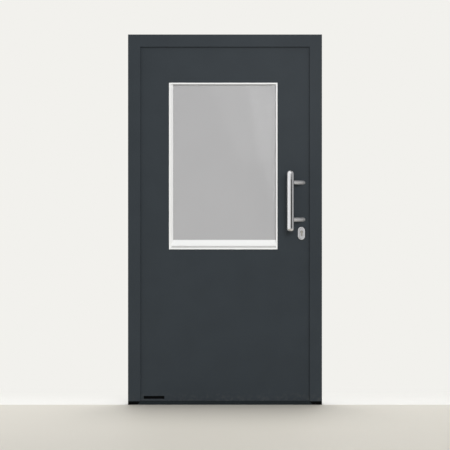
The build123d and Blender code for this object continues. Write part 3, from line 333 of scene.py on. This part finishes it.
def timber(name):
    """Straight-grained softwood: rings drawn out along the upright."""
    wood = Finish(name)
    warp = wood.noise(9, 3, 0.5, (1, 1, 0.1))
    rings = wood.node(
        "ShaderNodeTexWave",
        {"bands_direction": "X"},
        {"Vector": wood.stretched((1, 1, 0.03)), "Scale": 55.0, "Distortion": 5.0, "Detail": 2.0},
        "Fac",
    )
    fibre = wood.noise(900, 2, 0.6, (1, 1, 0.02))
    pale, dark = four(linear(206, 188, 158)), four(linear(178, 154, 120))
    wood.set(
        Base_Color=wood.mix(rings * 0.55 + warp * 0.25 + fibre * 0.15, pale, dark),
        Roughness=0.6 + 0.15 * fibre,
    )
    return wood.bump(fibre, 0.3, 0.0004).owner


def foam(name):
    """Rigid foam with fine cells."""
    core = Finish(name)
    cells = core.cells(700.0)
    pale, dark = four(linear(229, 221, 188)), four(linear(205, 194, 156))
    core.set(Base_Color=core.mix(cells, dark, pale), Roughness=0.9)
    return core.bump(cells, 0.4, 0.0006).owner


def satin_glass(name, colour):
    """Etched glass: an even grey veil with a smooth face and a faint unevenness."""
    glass = Finish(name)
    veil, lighter = shades(colour, 1.015)
    cloud = glass.noise(3, 2)
    glass.set(
        Base_Color=glass.mix(cloud.ramp(0.35, 0.65), veil, lighter),
        Roughness=0.025 + 0.015 * glass.noise(60, 2),
        Transmission_Weight=0.1,
        IOR=1.5,
    )
    return glass.owner


def clear_glass(name):
    """Clear glass with a trace of green and the slight waviness of float glass."""
    glass = Finish(name)
    wave = glass.noise(2.5, 1)
    glass.set(
        Base_Color=glass.mix(wave, (0.955, 0.97, 0.965, 1), (0.97, 0.98, 0.975, 1)),
        Roughness=0.01 + 0.01 * wave,
        Transmission_Weight=1.0,
        IOR=1.5,
    )
    return glass.bump(wave, 0.05, 0.0005).owner


trim_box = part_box("glazing_outer_trim")
inner_trim_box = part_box("glazing_inner_trim")
anthracite = linear(48, 54, 59)
white = linear(243, 244, 244)
finishes = {
    "frame_profile": powder_coat("frame_powder_coat", anthracite),
    "leaf_coat": powder_coat("leaf_powder_coat", anthracite),
    "hinge_steel": powder_coat("hinge_powder_coat", anthracite),
    "threshold_metal": anodised("threshold_anodised", linear(33, 41, 45), 0, 0.35),
    "black_plastic": moulded_plastic("black_block_plastic", (0.0015, 0.0018, 0.002), 0.6, 0.0003, 0.06),
    "insulating_plastic": moulded_plastic("insulating_bar_plastic", (0.01, 0.01, 0.011), 0.55, 0.0003, 0.3),
    "bare_aluminium": anodised("mill_aluminium", (0.5, 0.51, 0.52), 2, 0.2),
    "gasket_rubber": rubber("frame_gasket_rubber", (0.012, 0.014, 0.015)),
    "white_trim": white_profile("white_window_trim", white, trim_box, 0.009),
    "carrier_plastic": moulded_plastic("white_carrier", linear(225, 225, 222), 0.4, 0.0002),
    "satin_glass": satin_glass("satin_pane", linear(182, 182, 184)),
    "clear_glass": clear_glass("clear_pane"),
    "spacer_metal": anodised("black_spacer", (0.03, 0.03, 0.03), 2, 0.2),
    "seal_rubber": rubber("glazing_rubber", (0.01, 0.01, 0.01)),
    "timber": timber("spruce_frame"),
    "foam": foam("core_foam"),
    "stainless": brushed_steel("brushed_stainless", (0.75, 0.75, 0.76), 2, 0.1),
    "zinc_steel": zinc_plate("zinc_plated_steel"),
    "plug_brass": brushed_steel("nickel_plated_brass", (0.56, 0.54, 0.49), 1, 0.18),
}
for part in frame["record"]["subparts"]:
    for slot in nodes[part["node"]].material_slots:
        slot.material = finishes[part["material_slot"]]
inner_white = white_profile("white_inner_trim", white, inner_trim_box, 0)
for slot in nodes["glazing_inner_trim"].material_slots:
    slot.material = inner_white


# Surfaces: each is a grid of points whose rows follow a profile and whose columns run round
def eased(corners, reach, closed=True, steps=4):
    """Line with its corners eased. Each corner P becomes the parabola (1-u)^2 A + 2u(1-u) P + u^2 B,
    where A and B lie a reach before and after P, or half way to the next corner."""
    corners = np.array(corners, float)
    reaches = np.full((len(corners), 1), float(reach))
    if not closed:
        reaches[[0, -1]] = 0

    def towards(neighbours):
        step = neighbours - corners
        length = np.linalg.norm(step, axis=1, keepdims=True)
        return (corners + step * np.minimum(reaches, length / 2) / length)[:, None]

    before = towards(np.roll(corners, 1, axis=0))
    after = towards(np.roll(corners, -1, axis=0))
    u = np.linspace(0, 1, steps + 1)[None, :, None]
    curve = (1 - u) ** 2 * before + 2 * u * (1 - u) * corners[:, None] + u**2 * after
    return curve.reshape(-1, corners.shape[1])


def square_to(along):
    """Two unit directions that are square to a line and to each other."""
    along = np.array(along, float)
    side = np.cross(np.eye(3)[np.argmin(np.abs(along))], along)
    side /= np.linalg.norm(side)
    return side, np.cross(along, side)


def turned(profile, origin, along, around=48):
    """Shape turned on a line: origin + distance * along + radius * (cos a * side + sin a * up).
    The profile gives radius and distance; a radius may itself vary with the angle a."""
    profile = np.array(profile, float)
    side, up = square_to(along)
    angle = np.linspace(0, 2 * math.pi, around, endpoint=False)[None, :, None]
    radius, distance = profile[:, 0][:, None, None], profile[:, 1][:, None, None]
    if profile.ndim == 3:
        radius, distance = profile[:, 0, :, None], profile[:, 1, :, None]
    return np.array(origin) + distance * np.array(along, float) + radius * (
        np.cos(angle) * side + np.sin(angle) * up
    )


def rounded_rectangle(half_width, half_height, corner):
    """Outline of a rectangle with eased corners, as a function of how far it is drawn in."""
    signs = np.array([(-1, -1), (1, -1), (1, 1), (-1, 1)])
    return lambda inset: eased(signs * (half_width - inset, half_height - inset), corner)


def plate(outline, profile, centre, outward):
    """Flat plate on a wall that faces along Y: the outline drawn in by each inset of the profile and
    lifted outward by each height, with both faces closed at their middles."""
    inset, height = np.array(profile, float).T
    rings = np.stack([outline(value) for value in inset])
    rings = np.concatenate([rings[:1] * 0, rings, rings[-1:] * 0])
    height = np.concatenate([height[:1], height, height[-1:]])[:, None]
    lifted = outward * height + 0 * rings[..., 0]
    return np.array(centre) + np.stack([rings[..., 0], lifted, rings[..., 1]], axis=-1)


def drawn(profile, start, end):
    """Bar along X: the closed profile of Y and Z at start and at end, with both ends closed."""
    middle = np.broadcast_to(profile.mean(axis=0), profile.shape)
    rings = np.stack([middle, profile, profile, middle])
    along = np.array([start, start, end, end])[:, None] + 0 * rings[..., 0]
    return np.concatenate([along[..., None], rings], axis=-1)


def framed(profile, inner, outer):
    """Strip round a rectangle, mitred at its corners: inner corner + share * (outer corner - inner corner),
    at the depth in Y. The profile gives share and depth; inner and outer give low X, high X, low Z and
    high Z."""
    share, depth = (column[:, None] for column in profile.T)

    def corners(box):
        return np.array([box[0], box[1], box[1], box[0]]), np.array([box[2], box[2], box[3], box[3]])

    (inner_x, inner_z), (outer_x, outer_z) = corners(inner), corners(outer)
    x = inner_x + share * (outer_x - inner_x)
    z = inner_z + share * (outer_z - inner_z)
    return np.stack([x, depth + 0 * x, z], axis=-1)


def grid_faces(rows, columns, rows_closed, columns_closed):
    """Corner numbers of the four-sided faces between neighbouring points of a grid."""
    row, column = np.meshgrid(
        np.arange(rows if rows_closed else rows - 1),
        np.arange(columns if columns_closed else columns - 1),
        indexing="ij",
    )
    next_row, next_column = (row + 1) % rows, (column + 1) % columns
    corners = [(row, column), (row, next_column), (next_row, next_column), (next_row, column)]
    return np.stack([r * columns + c for r, c in corners], axis=-1).reshape(-1, 4)


def mesh_of(name, grids, rows_closed, columns_closed=True):
    """Object whose mesh holds all the grids of points."""
    points, faces, count = [], [], 0
    for grid in grids:
        rows, columns = grid.shape[:2]
        points.append(grid.reshape(-1, 3))
        faces.append(grid_faces(rows, columns, rows_closed, columns_closed) + count)
        count += rows * columns
    mesh = bpy.data.meshes.new(name)
    mesh.from_pydata(np.concatenate(points).tolist(), [], np.concatenate(faces).tolist())
    made = bpy.data.objects.new(name, mesh)
    bpy.context.scene.collection.objects.link(made)
    return made


def piece(name, grids, slot, body, replaced=(), rings=()):
    """Piece of the door. Its grids are closed by poles at their first and last rows, and its rings by
    joining the last row to the first. Points that meet are merged and edges over 35 degrees stay sharp."""
    made = mesh_of(name, grids, False) if grids else None
    if rings:
        ringed = mesh_of(name + "_rings", rings, True)
        if made is None:
            made = ringed
            made.name = made.data.name = name
        else:
            joined = bmesh.new()
            joined.from_mesh(made.data)
            joined.from_mesh(ringed.data)
            joined.to_mesh(made.data)
            joined.free()
            bpy.data.objects.remove(ringed)
    shape = bmesh.new()
    shape.from_mesh(made.data)
    bmesh.ops.remove_doubles(shape, verts=shape.verts, dist=1e-7)
    bmesh.ops.recalc_face_normals(shape, faces=shape.faces)
    shape.to_mesh(made.data)
    shape.free()
    made.data.shade_smooth()
    made.data.set_sharp_from_angle(angle=math.radians(35))
    made.data.materials.append(finishes[slot])
    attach(made, body)
    if replaced:
        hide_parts(*replaced)
    return made


# Screws: a size gives the radii of head and shank, the length, and the length of the thread
thread_pitch = 0.0016
head_lift = 0.00015
plate_screw = (0.004, 0.0021, 0.016, 0.011)
cylinder_screw = (0.005, 0.0025, 0.059, 0.010)
escutcheon_screw = (0.005, 0.0025, 0.079, 0.012)
hinge_screw = (0.0045, 0.0024, 0.020, 0.014)


def lobed_screw(head, along, head_radius, shank_radius, length, thread_length):
    """Countersunk screw with a six-lobed recess. Its rings are the recess floor and mouth, with a radius
    that swells six times round, then rim and cone, then a shank whose radius rises once a pitch along a
    line that winds round it, and a point."""
    around = 24
    angle = np.linspace(0, 2 * math.pi, around, endpoint=False)
    level = np.ones(around)
    lobes = head_radius * (0.5 + 0.07 * np.cos(6 * angle))
    recess = 0.45 * head_radius
    cone_end = head_radius - shank_radius
    thread_start = length - thread_length
    turns = np.linspace(thread_start, length - shank_radius, max(8, int(6 * thread_length / thread_pitch)))
    wind = 2 * math.pi * turns[:, None] / thread_pitch - angle
    core = 0.78 * shank_radius
    thread = core + (shank_radius - core) * (0.5 + 0.5 * np.cos(wind))
    rings = [
        (0 * level, recess * level),
        (0.8 * lobes, recess * level),
        (lobes, 0.04 * head_radius * level),
        (1.06 * lobes, 0 * level),
        (0.96 * head_radius * level, 0 * level),
        (head_radius * level, 0.06 * head_radius * level),
        (shank_radius * level, cone_end * level),
        (shank_radius * level, thread_start * level),
        *((radius, distance * level) for radius, distance in zip(thread, turns)),
        (0 * level, length * level),
    ]
    return turned(rings, head, along, around)


strike_screw_heights = (0.970, 1.148, 0.289, 0.377, 1.639, 1.727)
strike_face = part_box("main_strike")[0].x - head_lift
lock_y = (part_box("main_strike")[0].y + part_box("main_strike")[1].y) / 2
strike_screws = [
    lobed_screw((strike_face, lock_y, height), (1, 0, 0), *plate_screw) for height in strike_screw_heights
]
piece("strike_screws", strike_screws, "zinc_steel", "frame", ["frame_screws"])

cylinder_x = (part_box("cylinder_body")[0].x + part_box("cylinder_body")[1].x) / 2
plug_radius = 0.0065
plug_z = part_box("cylinder_plug")[1].z - plug_radius
plate_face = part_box("lock_faceplate")[1].x + head_lift
faceplate_low, faceplate_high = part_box("lock_faceplate")
inner_plate_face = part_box("inner_escutcheon")[1].y + head_lift
oval_low, oval_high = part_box("outer_escutcheon")
oval_z = (oval_low.z + oval_high.z) / 2
end_margin = 0.018
between_heights = (0.286, 1.060, 1.744)
faceplate_heights = (faceplate_low.z + end_margin, *between_heights, faceplate_high.z - end_margin)
cylinder_screw_height = 0.960
escutcheon_screw_step = 0.028
lock_screws = [
    *(lobed_screw((plate_face, lock_y, height), (-1, 0, 0), *plate_screw) for height in faceplate_heights),
    lobed_screw((plate_face, lock_y, cylinder_screw_height), (-1, 0, 0), *cylinder_screw),
    *(
        lobed_screw((cylinder_x, inner_plate_face, oval_z + step), (0, -1, 0), *escutcheon_screw)
        for step in (-escutcheon_screw_step, escutcheon_screw_step)
    ),
]
piece("lock_screws", lock_screws, "zinc_steel", "leaf", ["leaf_screws"])

# Pull bar, and its legs that run back and sideways to the leaf
bar_low, bar_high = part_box("pull_bar")
bar_x, bar_y = (bar_low.x + bar_high.x) / 2, (bar_low.y + bar_high.y) / 2
bar_radius = (bar_high.x - bar_low.x) / 2
quarter = np.linspace(0, math.pi / 2, 14)
half_length = (bar_high.z - bar_low.z) / 2
round_end = np.stack([bar_radius * np.sin(quarter), bar_radius - bar_radius * np.cos(quarter)], axis=-1)
far_end = round_end[::-1] * (1, -1) + (0, 2 * half_length)
bar_profile = np.concatenate([round_end, far_end])
bar_grid = turned(bar_profile, (bar_x, bar_y, bar_low.z), (0, 0, 1), 64)
piece("pull_bar_round", [bar_grid], "stainless", "leaf", ["pull_bar"])


def slanted_leg(height, radius, around=48):
    """Leg from inside the bar to the leaf: the ring point side * cos a + up * sin a, each carried along
    the slant until its Y reaches the leaf's face."""
    along = np.array([1, 1, 0]) / math.sqrt(2)
    side, up = square_to(along)
    angle = np.linspace(0, 2 * math.pi, around, endpoint=False)[:, None]
    ring = np.array([bar_x, bar_y, height]) + radius * (np.cos(angle) * side + np.sin(angle) * up)
    start = ring + along * bar_radius / 2
    foot = ring + along * ((leaf_front - ring[:, 1:2]) / along[1])
    ease = foot - along * 0.4 * radius
    poles = [np.broadcast_to(row.mean(axis=0), row.shape) for row in (start, foot)]
    return np.stack([poles[0], start, ease, foot, poles[1]])


leg_low, leg_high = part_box("pull_standoffs")
leg_radius = 0.0125
leg_heights = [leg_low.z + leg_radius, leg_high.z - leg_radius]
foot_x = bar_x + leaf_front - bar_y
stud_radius, stud_head, stud_end = 0.004, -0.001, 0.018
stud_corners = [(0, stud_head), (stud_radius, stud_head), (stud_radius, stud_end), (0, stud_end)]
stud_profile = eased(stud_corners, 0.0006, False)
legs = [slanted_leg(height, leg_radius) for height in leg_heights]
studs = [turned(stud_profile, (foot_x, leaf_front, height), (0, 1, 0), 24) for height in leg_heights]
pull_legs = piece("pull_legs", legs + studs, "stainless", "leaf", ["pull_standoffs"])
pull_legs.data.materials[0] = brushed_steel("satin_stainless_legs", (0.78, 0.78, 0.79), 0, 0.34, 0.75)

# Escutcheons. The lock cylinder's outline is a round part and a stem that hangs from it
round_radius, stem_half_width, stem_drop = 0.0085, 0.005, 0.0115
oval_half_width = (oval_high.x - oval_low.x) / 2
oval_half_height = (oval_high.z - oval_low.z) / 2
directions = np.linspace(0, 2 * math.pi, 168, endpoint=False)


def oval_reach(half_width, half_height):
    """Distance from the middle of an upright oval to its edge in each direction: half width / |cos a|
    along the straight sides, else s |sin a| + root(half width^2 - s^2 cos^2 a), s being half the straight."""
    cosine, sine = np.abs(np.cos(directions)) + 1e-9, np.abs(np.sin(directions))
    straight = half_height - half_width
    side = half_width / cosine
    end = straight * sine + np.sqrt(np.maximum(half_width**2 - (straight * cosine) ** 2, 0))
    return np.where(side * sine <= straight, side, end)


def cylinder_reach(clearance):
    """Distance from the escutcheon's middle to the outline of the lock cylinder in each direction:
    the further of its round part, which stands above the middle, and its stem, which hangs below."""
    rise = plug_z - oval_z
    radius, stem = round_radius + clearance, stem_half_width + clearance
    cosine, sine = np.cos(directions), np.sin(directions)
    inside = radius**2 - (rise * cosine) ** 2
    round_part = rise * sine + np.sqrt(np.maximum(inside, 0))
    side = stem / (np.abs(cosine) + 1e-9)
    end = stem_drop * np.abs(sine) + np.sqrt(np.maximum(stem**2 - (stem_drop * cosine) ** 2, 0))
    below = np.where(side * np.abs(sine) <= stem_drop, side, end)
    above = np.minimum(side, rise / np.maximum(sine, 1e-9))
    return np.maximum(round_part, np.where(sine > 0, above, below))


def escutcheon(face, outward, hole, profile):
    """Oval plate with the cylinder's hole: rings at (reach, height) of the hole's wall and then of the
    profile, whose insets draw the oval in."""
    rows = [(hole, 0.0), (hole, profile[0][1])]
    rows += [
        (oval_reach(oval_half_width - inset, oval_half_height - inset), height) for inset, height in profile
    ]
    reach = np.stack([row[0] for row in rows])
    height = np.array([row[1] for row in rows])[:, None] + 0 * reach
    x = cylinder_x + reach * np.cos(directions)
    z = oval_z + reach * np.sin(directions)
    return np.stack([x, face + outward * height, z], axis=-1)


hole = cylinder_reach(clearance=0.0003)
outer_profile = eased([(0.007, 0.009), (0.007, 0.010), (0.002, 0.010), (0, 0.008), (0, 0)], 0.0004, False)
inner_profile = eased([(0.006, 0.008), (0.002, 0.008), (0, 0.006), (0, 0)], 0.0004, False)
outer_rings = [escutcheon(leaf_front, -1, hole, outer_profile)]
inner_rings = [escutcheon(leaf_back, 1, hole, inner_profile)]
piece("escutcheon_outside", [], "stainless", "leaf", ["outer_escutcheon"], outer_rings)
piece("escutcheon_inside", [], "stainless", "leaf", ["inner_escutcheon"], inner_rings)

# Lever handle and rose on the inside
lever_low, lever_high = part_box("lever_handle")
lever_radius = (lever_high.z - lever_low.z) / 2
lever_z = (lever_low.z + lever_high.z) / 2
neck_x, grip_y = lever_high.x - lever_radius, lever_high.y - lever_radius


def mitred_lever(around=48):
    """L-shaped lever of round section. Neck rings stand at (x + r cos a, y, z + r sin a), the mitre ring at
    (x + r cos a, grip + r cos a, z + r sin a), and grip rings at (x, grip + r cos a, z + r sin a)."""
    angle = np.linspace(0, 2 * math.pi, around, endpoint=False)
    across, rise = lever_radius * np.cos(angle), lever_radius * np.sin(angle)
    end = eased([(1.0, 0.004), (1.0, 0.0), (0.0, 0.0)], 0.0015, False, 6)
    neck = [
        np.stack([neck_x + share * across, y + 0 * across, lever_z + share * rise], axis=-1)
        for share, y in ((0.0, lever_low.y), (0.96, lever_low.y), (1.0, lever_low.y + 0.0005))
    ]
    mitre = np.stack([neck_x + across, grip_y + across, lever_z + rise], axis=-1)
    grip = [
        np.stack([lever_low.x + back + 0 * across, grip_y + share * across, lever_z + share * rise], axis=-1)
        for share, back in end
    ]
    return np.stack([*neck, mitre, *grip])


piece("lever_grip", [mitred_lever()], "stainless", "lever", ["lever_handle"])
rose_low, rose_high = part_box("lever_rose")
rose_radius = (rose_high.x - rose_low.x) / 2
rose_height = rose_high.y - rose_low.y
rose_bore, rose_bevel = 0.0104, 0.002
rose_corners = [
    (rose_bore, 0),
    (rose_radius, 0),
    (rose_radius, rose_height - rose_bevel),
    (rose_radius - rose_bevel, rose_height),
    (rose_bore, rose_height),
]
rose_ring = turned(eased(rose_corners, 0.0005), (neck_x, rose_low.y, lever_z), (0, 1, 0), 72)
piece("lever_rose_turned", [], "stainless", "leaf", ["lever_rose"], [rose_ring])

# Hinges
hinge_z = {
    name: (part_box(f"hinge_frame_part_{name}")[0].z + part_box(f"hinge_frame_part_{name}")[1].z) / 2
    for name in ("lower", "middle", "upper")
}
pin_low, pin_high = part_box("hinge_pins")
hinge_x, hinge_y = (pin_low.x + pin_high.x) / 2, (pin_low.y + pin_high.y) / 2
pin_radius = (pin_high.x - pin_low.x) / 2
knuckle_radius, knuckle_half, knuckle_step = 0.011, 0.02475, 0.02525
plate_half_width, plate_half_height, plate_thickness = 0.020, 0.050, 0.004
plate_offset = 0.0325
tongue_lap = 0.002
screw_face = leaf_back + plate_thickness + 2 * head_lift
screw_steps = ((-0.009, 0.038), (0.009, 0.016), (-0.009, -0.016), (0.009, -0.038))


def hinge_half(height, side):
    """Half of a hinge: the screwed plate, the tongue that reaches to the pin, and the turned knuckle."""
    soft_edge = [
        (0, 0),
        (0, plate_thickness - 0.0006),
        (0.0002, plate_thickness - 0.0002),
        (0.0006, plate_thickness),
    ]
    knuckle_z = height + side * knuckle_step
    plate_middle = (hinge_x + side * plate_offset, leaf_back, height)
    flat = plate(rounded_rectangle(plate_half_width, plate_half_height, 0.003), soft_edge, plate_middle, 1)
    tongue_half = plate_offset / 2 - plate_half_width / 2 + tongue_lap
    tongue_middle = (hinge_x + side * tongue_half, leaf_back, knuckle_z)
    tongue = plate(rounded_rectangle(tongue_half, knuckle_half, 0.0004), soft_edge, tongue_middle, 1)
    barrel_corners = [
        (pin_radius, -knuckle_half),
        (knuckle_radius, -knuckle_half),
        (knuckle_radius, knuckle_half),
        (pin_radius, knuckle_half),
    ]
    barrel = turned(eased(barrel_corners, 0.0008), (hinge_x, hinge_y, knuckle_z), (0, 0, 1), 56)
    return [flat, tongue], [barrel]


for name, height in hinge_z.items():
    for side, body in ((-1, "frame"), (1, "leaf")):
        flats, barrels = hinge_half(height, side)
        piece(f"hinge_{body}_side_{name}", flats, "hinge_steel", body, [f"hinge_{body}_part_{name}"], barrels)
        screw_x = hinge_x + side * plate_offset
        screws = [
            lobed_screw((screw_x + step_x, screw_face, height + step_z), (0, -1, 0), *hinge_screw)
            for step_x, step_z in screw_steps
        ]
        piece(f"hinge_{body}_screws_{name}", screws, "zinc_steel", body)

# Seals
gasket_low, gasket_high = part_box("frame_gasket")
stop_inset, sill_gap = 0.001, 0.003
stop_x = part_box("lock_jamb_outer_shell")[0].x + stop_inset
stop_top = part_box("head_outer_shell")[0].z + stop_inset
sill_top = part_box("threshold_rail")[1].z + sill_gap
gasket_depth = gasket_high.y - gasket_low.y
outer_lip = [(0, 0), (1, 0), (1, 0.35), (0.86, 0.55), (0.8, 1.0), (0.62, 1.0)]
inner_lip = [(0.5, 0.4), (0.38, 0.4), (0.3, 0.85), (0.12, 0.85), (0, 0.4)]
lip = eased(outer_lip + inner_lip, 0.08)
lip[:, 1] = gasket_low.y + lip[:, 1] * gasket_depth
lip_inner = (-stop_x, stop_x, sill_top, stop_top)
lip_outer = (gasket_low.x, gasket_high.x, gasket_low.z, gasket_high.z)
piece("frame_lip_seal", [], "gasket_rubber", "frame", ["frame_gasket"], [framed(lip, lip_inner, lip_outer)])

seal_low, seal_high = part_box("leaf_bottom_seal")
web_bottom = seal_high.z - 0.002
tip_start, tip_end, root_end = 0.001, 0.0035, 0.0045
fins = [
    (seal_low.y, seal_high.z),
    (seal_high.y, seal_high.z),
    (seal_high.y, web_bottom),
    (seal_high.y - tip_start, seal_low.z),
    (seal_high.y - tip_end, seal_low.z),
    (seal_high.y - root_end, web_bottom),
    (seal_low.y + root_end, web_bottom),
    (seal_low.y + tip_end, seal_low.z),
    (seal_low.y + tip_start, seal_low.z),
    (seal_low.y, web_bottom),
]
fin_grid = drawn(eased(fins, 0.0005), seal_low.x, seal_high.x)
piece("leaf_fin_seal", [fin_grid], "gasket_rubber", "leaf", ["leaf_bottom_seal"])

# Bare plate at the leaf's lower corner
plate_left, plate_right, plate_row = 143.8, 164.5, 397.8
plate_x = ((plate_left + plate_right) / 2 - photo_size / 2) * width_scale
plate_z = (photo_bottom - plate_row) * height_scale
bare_half_width = (plate_right - plate_left) * width_scale / 2
bare_half_height = 0.008
bare_profile = [(0, 0), (0, 0.0007), (0.0002, 0.0009), (0.0008, 0.0009), (0.001, 0.0007)]
bare_outline = rounded_rectangle(bare_half_width, bare_half_height, 0.002)
bare_plate = plate(bare_outline, bare_profile, (plate_x, leaf_front, plate_z), -1)
piece("bare_plate", [bare_plate], "black_plastic", "leaf")


# Stage
def patch(name, corners):
    """Four-cornered sheet: (1-u)(1-v) A + (1-u)v B + uv C + u(1-v) D."""
    u, v = (grid[..., None] for grid in np.meshgrid([0.0, 1.0], [0.0, 1.0], indexing="ij"))
    a, b, c, d = (np.array(corner, float) for corner in corners)
    sheet = (1 - u) * (1 - v) * a + (1 - u) * v * b + u * v * c + u * (1 - v) * d
    return mesh_of(name, [sheet], False, False)


backdrop = four(linear(242, 241, 237))
floor_tone, floor_darker = shades(linear(218, 214, 204), 0.985)
floor_reach = 6.0
floor_signs = ((-1, -1), (1, -1), (1, 1), (-1, 1))
floor = patch("floor", [(x * floor_reach, y * floor_reach, 0) for x, y in floor_signs])
floor_paint = Finish("floor_paint")
depth = floor_paint.axis(1)
mottled = floor_paint.mix(floor_paint.noise(5, 4), floor_tone, floor_darker)
floor_paint.set(
    Base_Color=floor_paint.mix(depth > door_front, mottled, backdrop),
    Roughness=0.6,
    Specular_IOR_Level=0.2,
)
glow = floor_paint.node("ShaderNodeEmission", None, {"Color": backdrop})
paint_shader = Value(floor_paint, floor_paint.shader.outputs[0])
reach = floor_paint.node("ShaderNodeVectorMath", {"operation": "LENGTH"}, {0: floor_paint.place}, "Value")
behind, far_off = depth.ramp(-0.1, 0.9), reach.ramp(3.0, 5.4)
fade = 1.0 - (1.0 - behind) * (1.0 - far_off)
faded = floor_paint.node("ShaderNodeMixShader", None, {0: fade, 1: paint_shader, 2: glow})
floor_paint.connect(floor_paint.nodes["Material Output"].inputs["Surface"], faded)
floor.data.materials.append(floor_paint.owner)

# Card that only gloss sees: the pale shape mirrored in the upper right of the glass
glass_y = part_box("glass_outer_pane")[0].y
card_distance, card_strength = 1.2, 1.35
card_scale = 1 + card_distance / (glass_y - camera.location.y)
corner_x, corner_z = 0.0887, 1.379
slant_x, slant_z = -0.0910, 1.812
card_right, card_top = 1.0, 2.4
card_lean = (corner_x - slant_x) / (corner_z - slant_z)


def mirrored(x, z):
    """Place on the card that the camera sees mirrored at a place on the glass."""
    return x * card_scale, glass_y - card_distance, view_centre_z + (z - view_centre_z) * card_scale


card_outline = (
    (corner_x, corner_z),
    (card_right, corner_z),
    (card_right, card_top),
    (corner_x + card_lean * (card_top - corner_z), card_top),
)
card = patch("mirror_card", [mirrored(x, z) for x, z in card_outline])
card_glow = Tree(bpy.data.materials.new("card_glow"))
card_light = card_glow.node("ShaderNodeEmission", None, {"Color": four((1, 1, 1)), "Strength": card_strength})
card_glow.connect(card_glow.nodes["Material Output"].inputs["Surface"], card_light)
card.data.materials.append(card_glow.owner)
card.visible_camera = card.visible_diffuse = card.visible_shadow = card.visible_transmission = False

# Light: an even pale room with a dark strip right of the viewer, a ceiling panel behind the door, and a
# soft sun on either side. The room is brighter to the viewer's left, and dimmer at the far right
world = bpy.data.worlds.new("room")
bpy.context.scene.world = world
room = Tree(world)
direction = room.node("ShaderNodeTexCoord", output="Generated")
right = room.node("ShaderNodeSeparateXYZ", None, {0: direction}, 0)
inward = room.node("ShaderNodeSeparateXYZ", None, {0: direction}, 1)
bearing = room.node("ShaderNodeMath", {"operation": "ARCTAN2"}, {0: right, 1: 0.0 - inward})
strip_middle, strip_half = math.radians(28.5), math.radians(24)
strip = 1.0 - abs(bearing - strip_middle).ramp(strip_half * 0.8, strip_half * 1.2)
left_gain, strip_loss, right_loss = 0.35, 0.97, 0.4
room_level = (
    1.0
    + left_gain * (0.0 - bearing).ramp(0.3, 0.8)
    - strip_loss * strip
    - right_loss * bearing.ramp(0.7, 1.1) * (1.0 - strip)
)
is_camera, is_glossy, is_transmission = (
    room.node("ShaderNodeLightPath", output=name)
    for name in ("Is Camera Ray", "Is Glossy Ray", "Is Transmission Ray")
)
seen = (is_camera + is_transmission).ramp(0, 1)
even_light = 0.5
grey_backdrop = four((0.88, 0.88, 0.88))
strength = seen + (1.0 - seen) * (is_glossy * room_level + (1.0 - is_glossy) * even_light)
background = room.nodes["Background"]
room.connect(background.inputs["Color"], room.mix(seen, grey_backdrop, backdrop))
room.connect(background.inputs["Strength"], strength)


def lamp(name, kind, place, target, energy, **settings):
    """Lamp that faces the target."""
    light = bpy.data.lights.new(name, kind)
    light.energy = energy
    for setting, value in settings.items():
        setattr(light, setting, value)
    made = bpy.data.objects.new(name, light)
    bpy.context.scene.collection.objects.link(made)
    made.location = place
    made.rotation_euler = (Vector(target) - Vector(place)).to_track_quat("-Z", "Y").to_euler()
    return made


panel = {"shape": "RECTANGLE", "size": 2.5, "size_y": 4}
ceiling = lamp("ceiling_panel", "AREA", (0, 1.9, 8), (0, 1.901, 0), 325, **panel)
sun_middle, sun_angle = (0, 0, 1.0), math.radians(25)
front = lamp("front_light", "SUN", (1.1, -6.0, 3.0), sun_middle, 1.6, angle=sun_angle)
back = lamp("back_light", "SUN", (1.4, 6.0, 1.5), sun_middle, 1.3, angle=sun_angle)
ceiling.visible_glossy = front.visible_glossy = back.visible_glossy = False
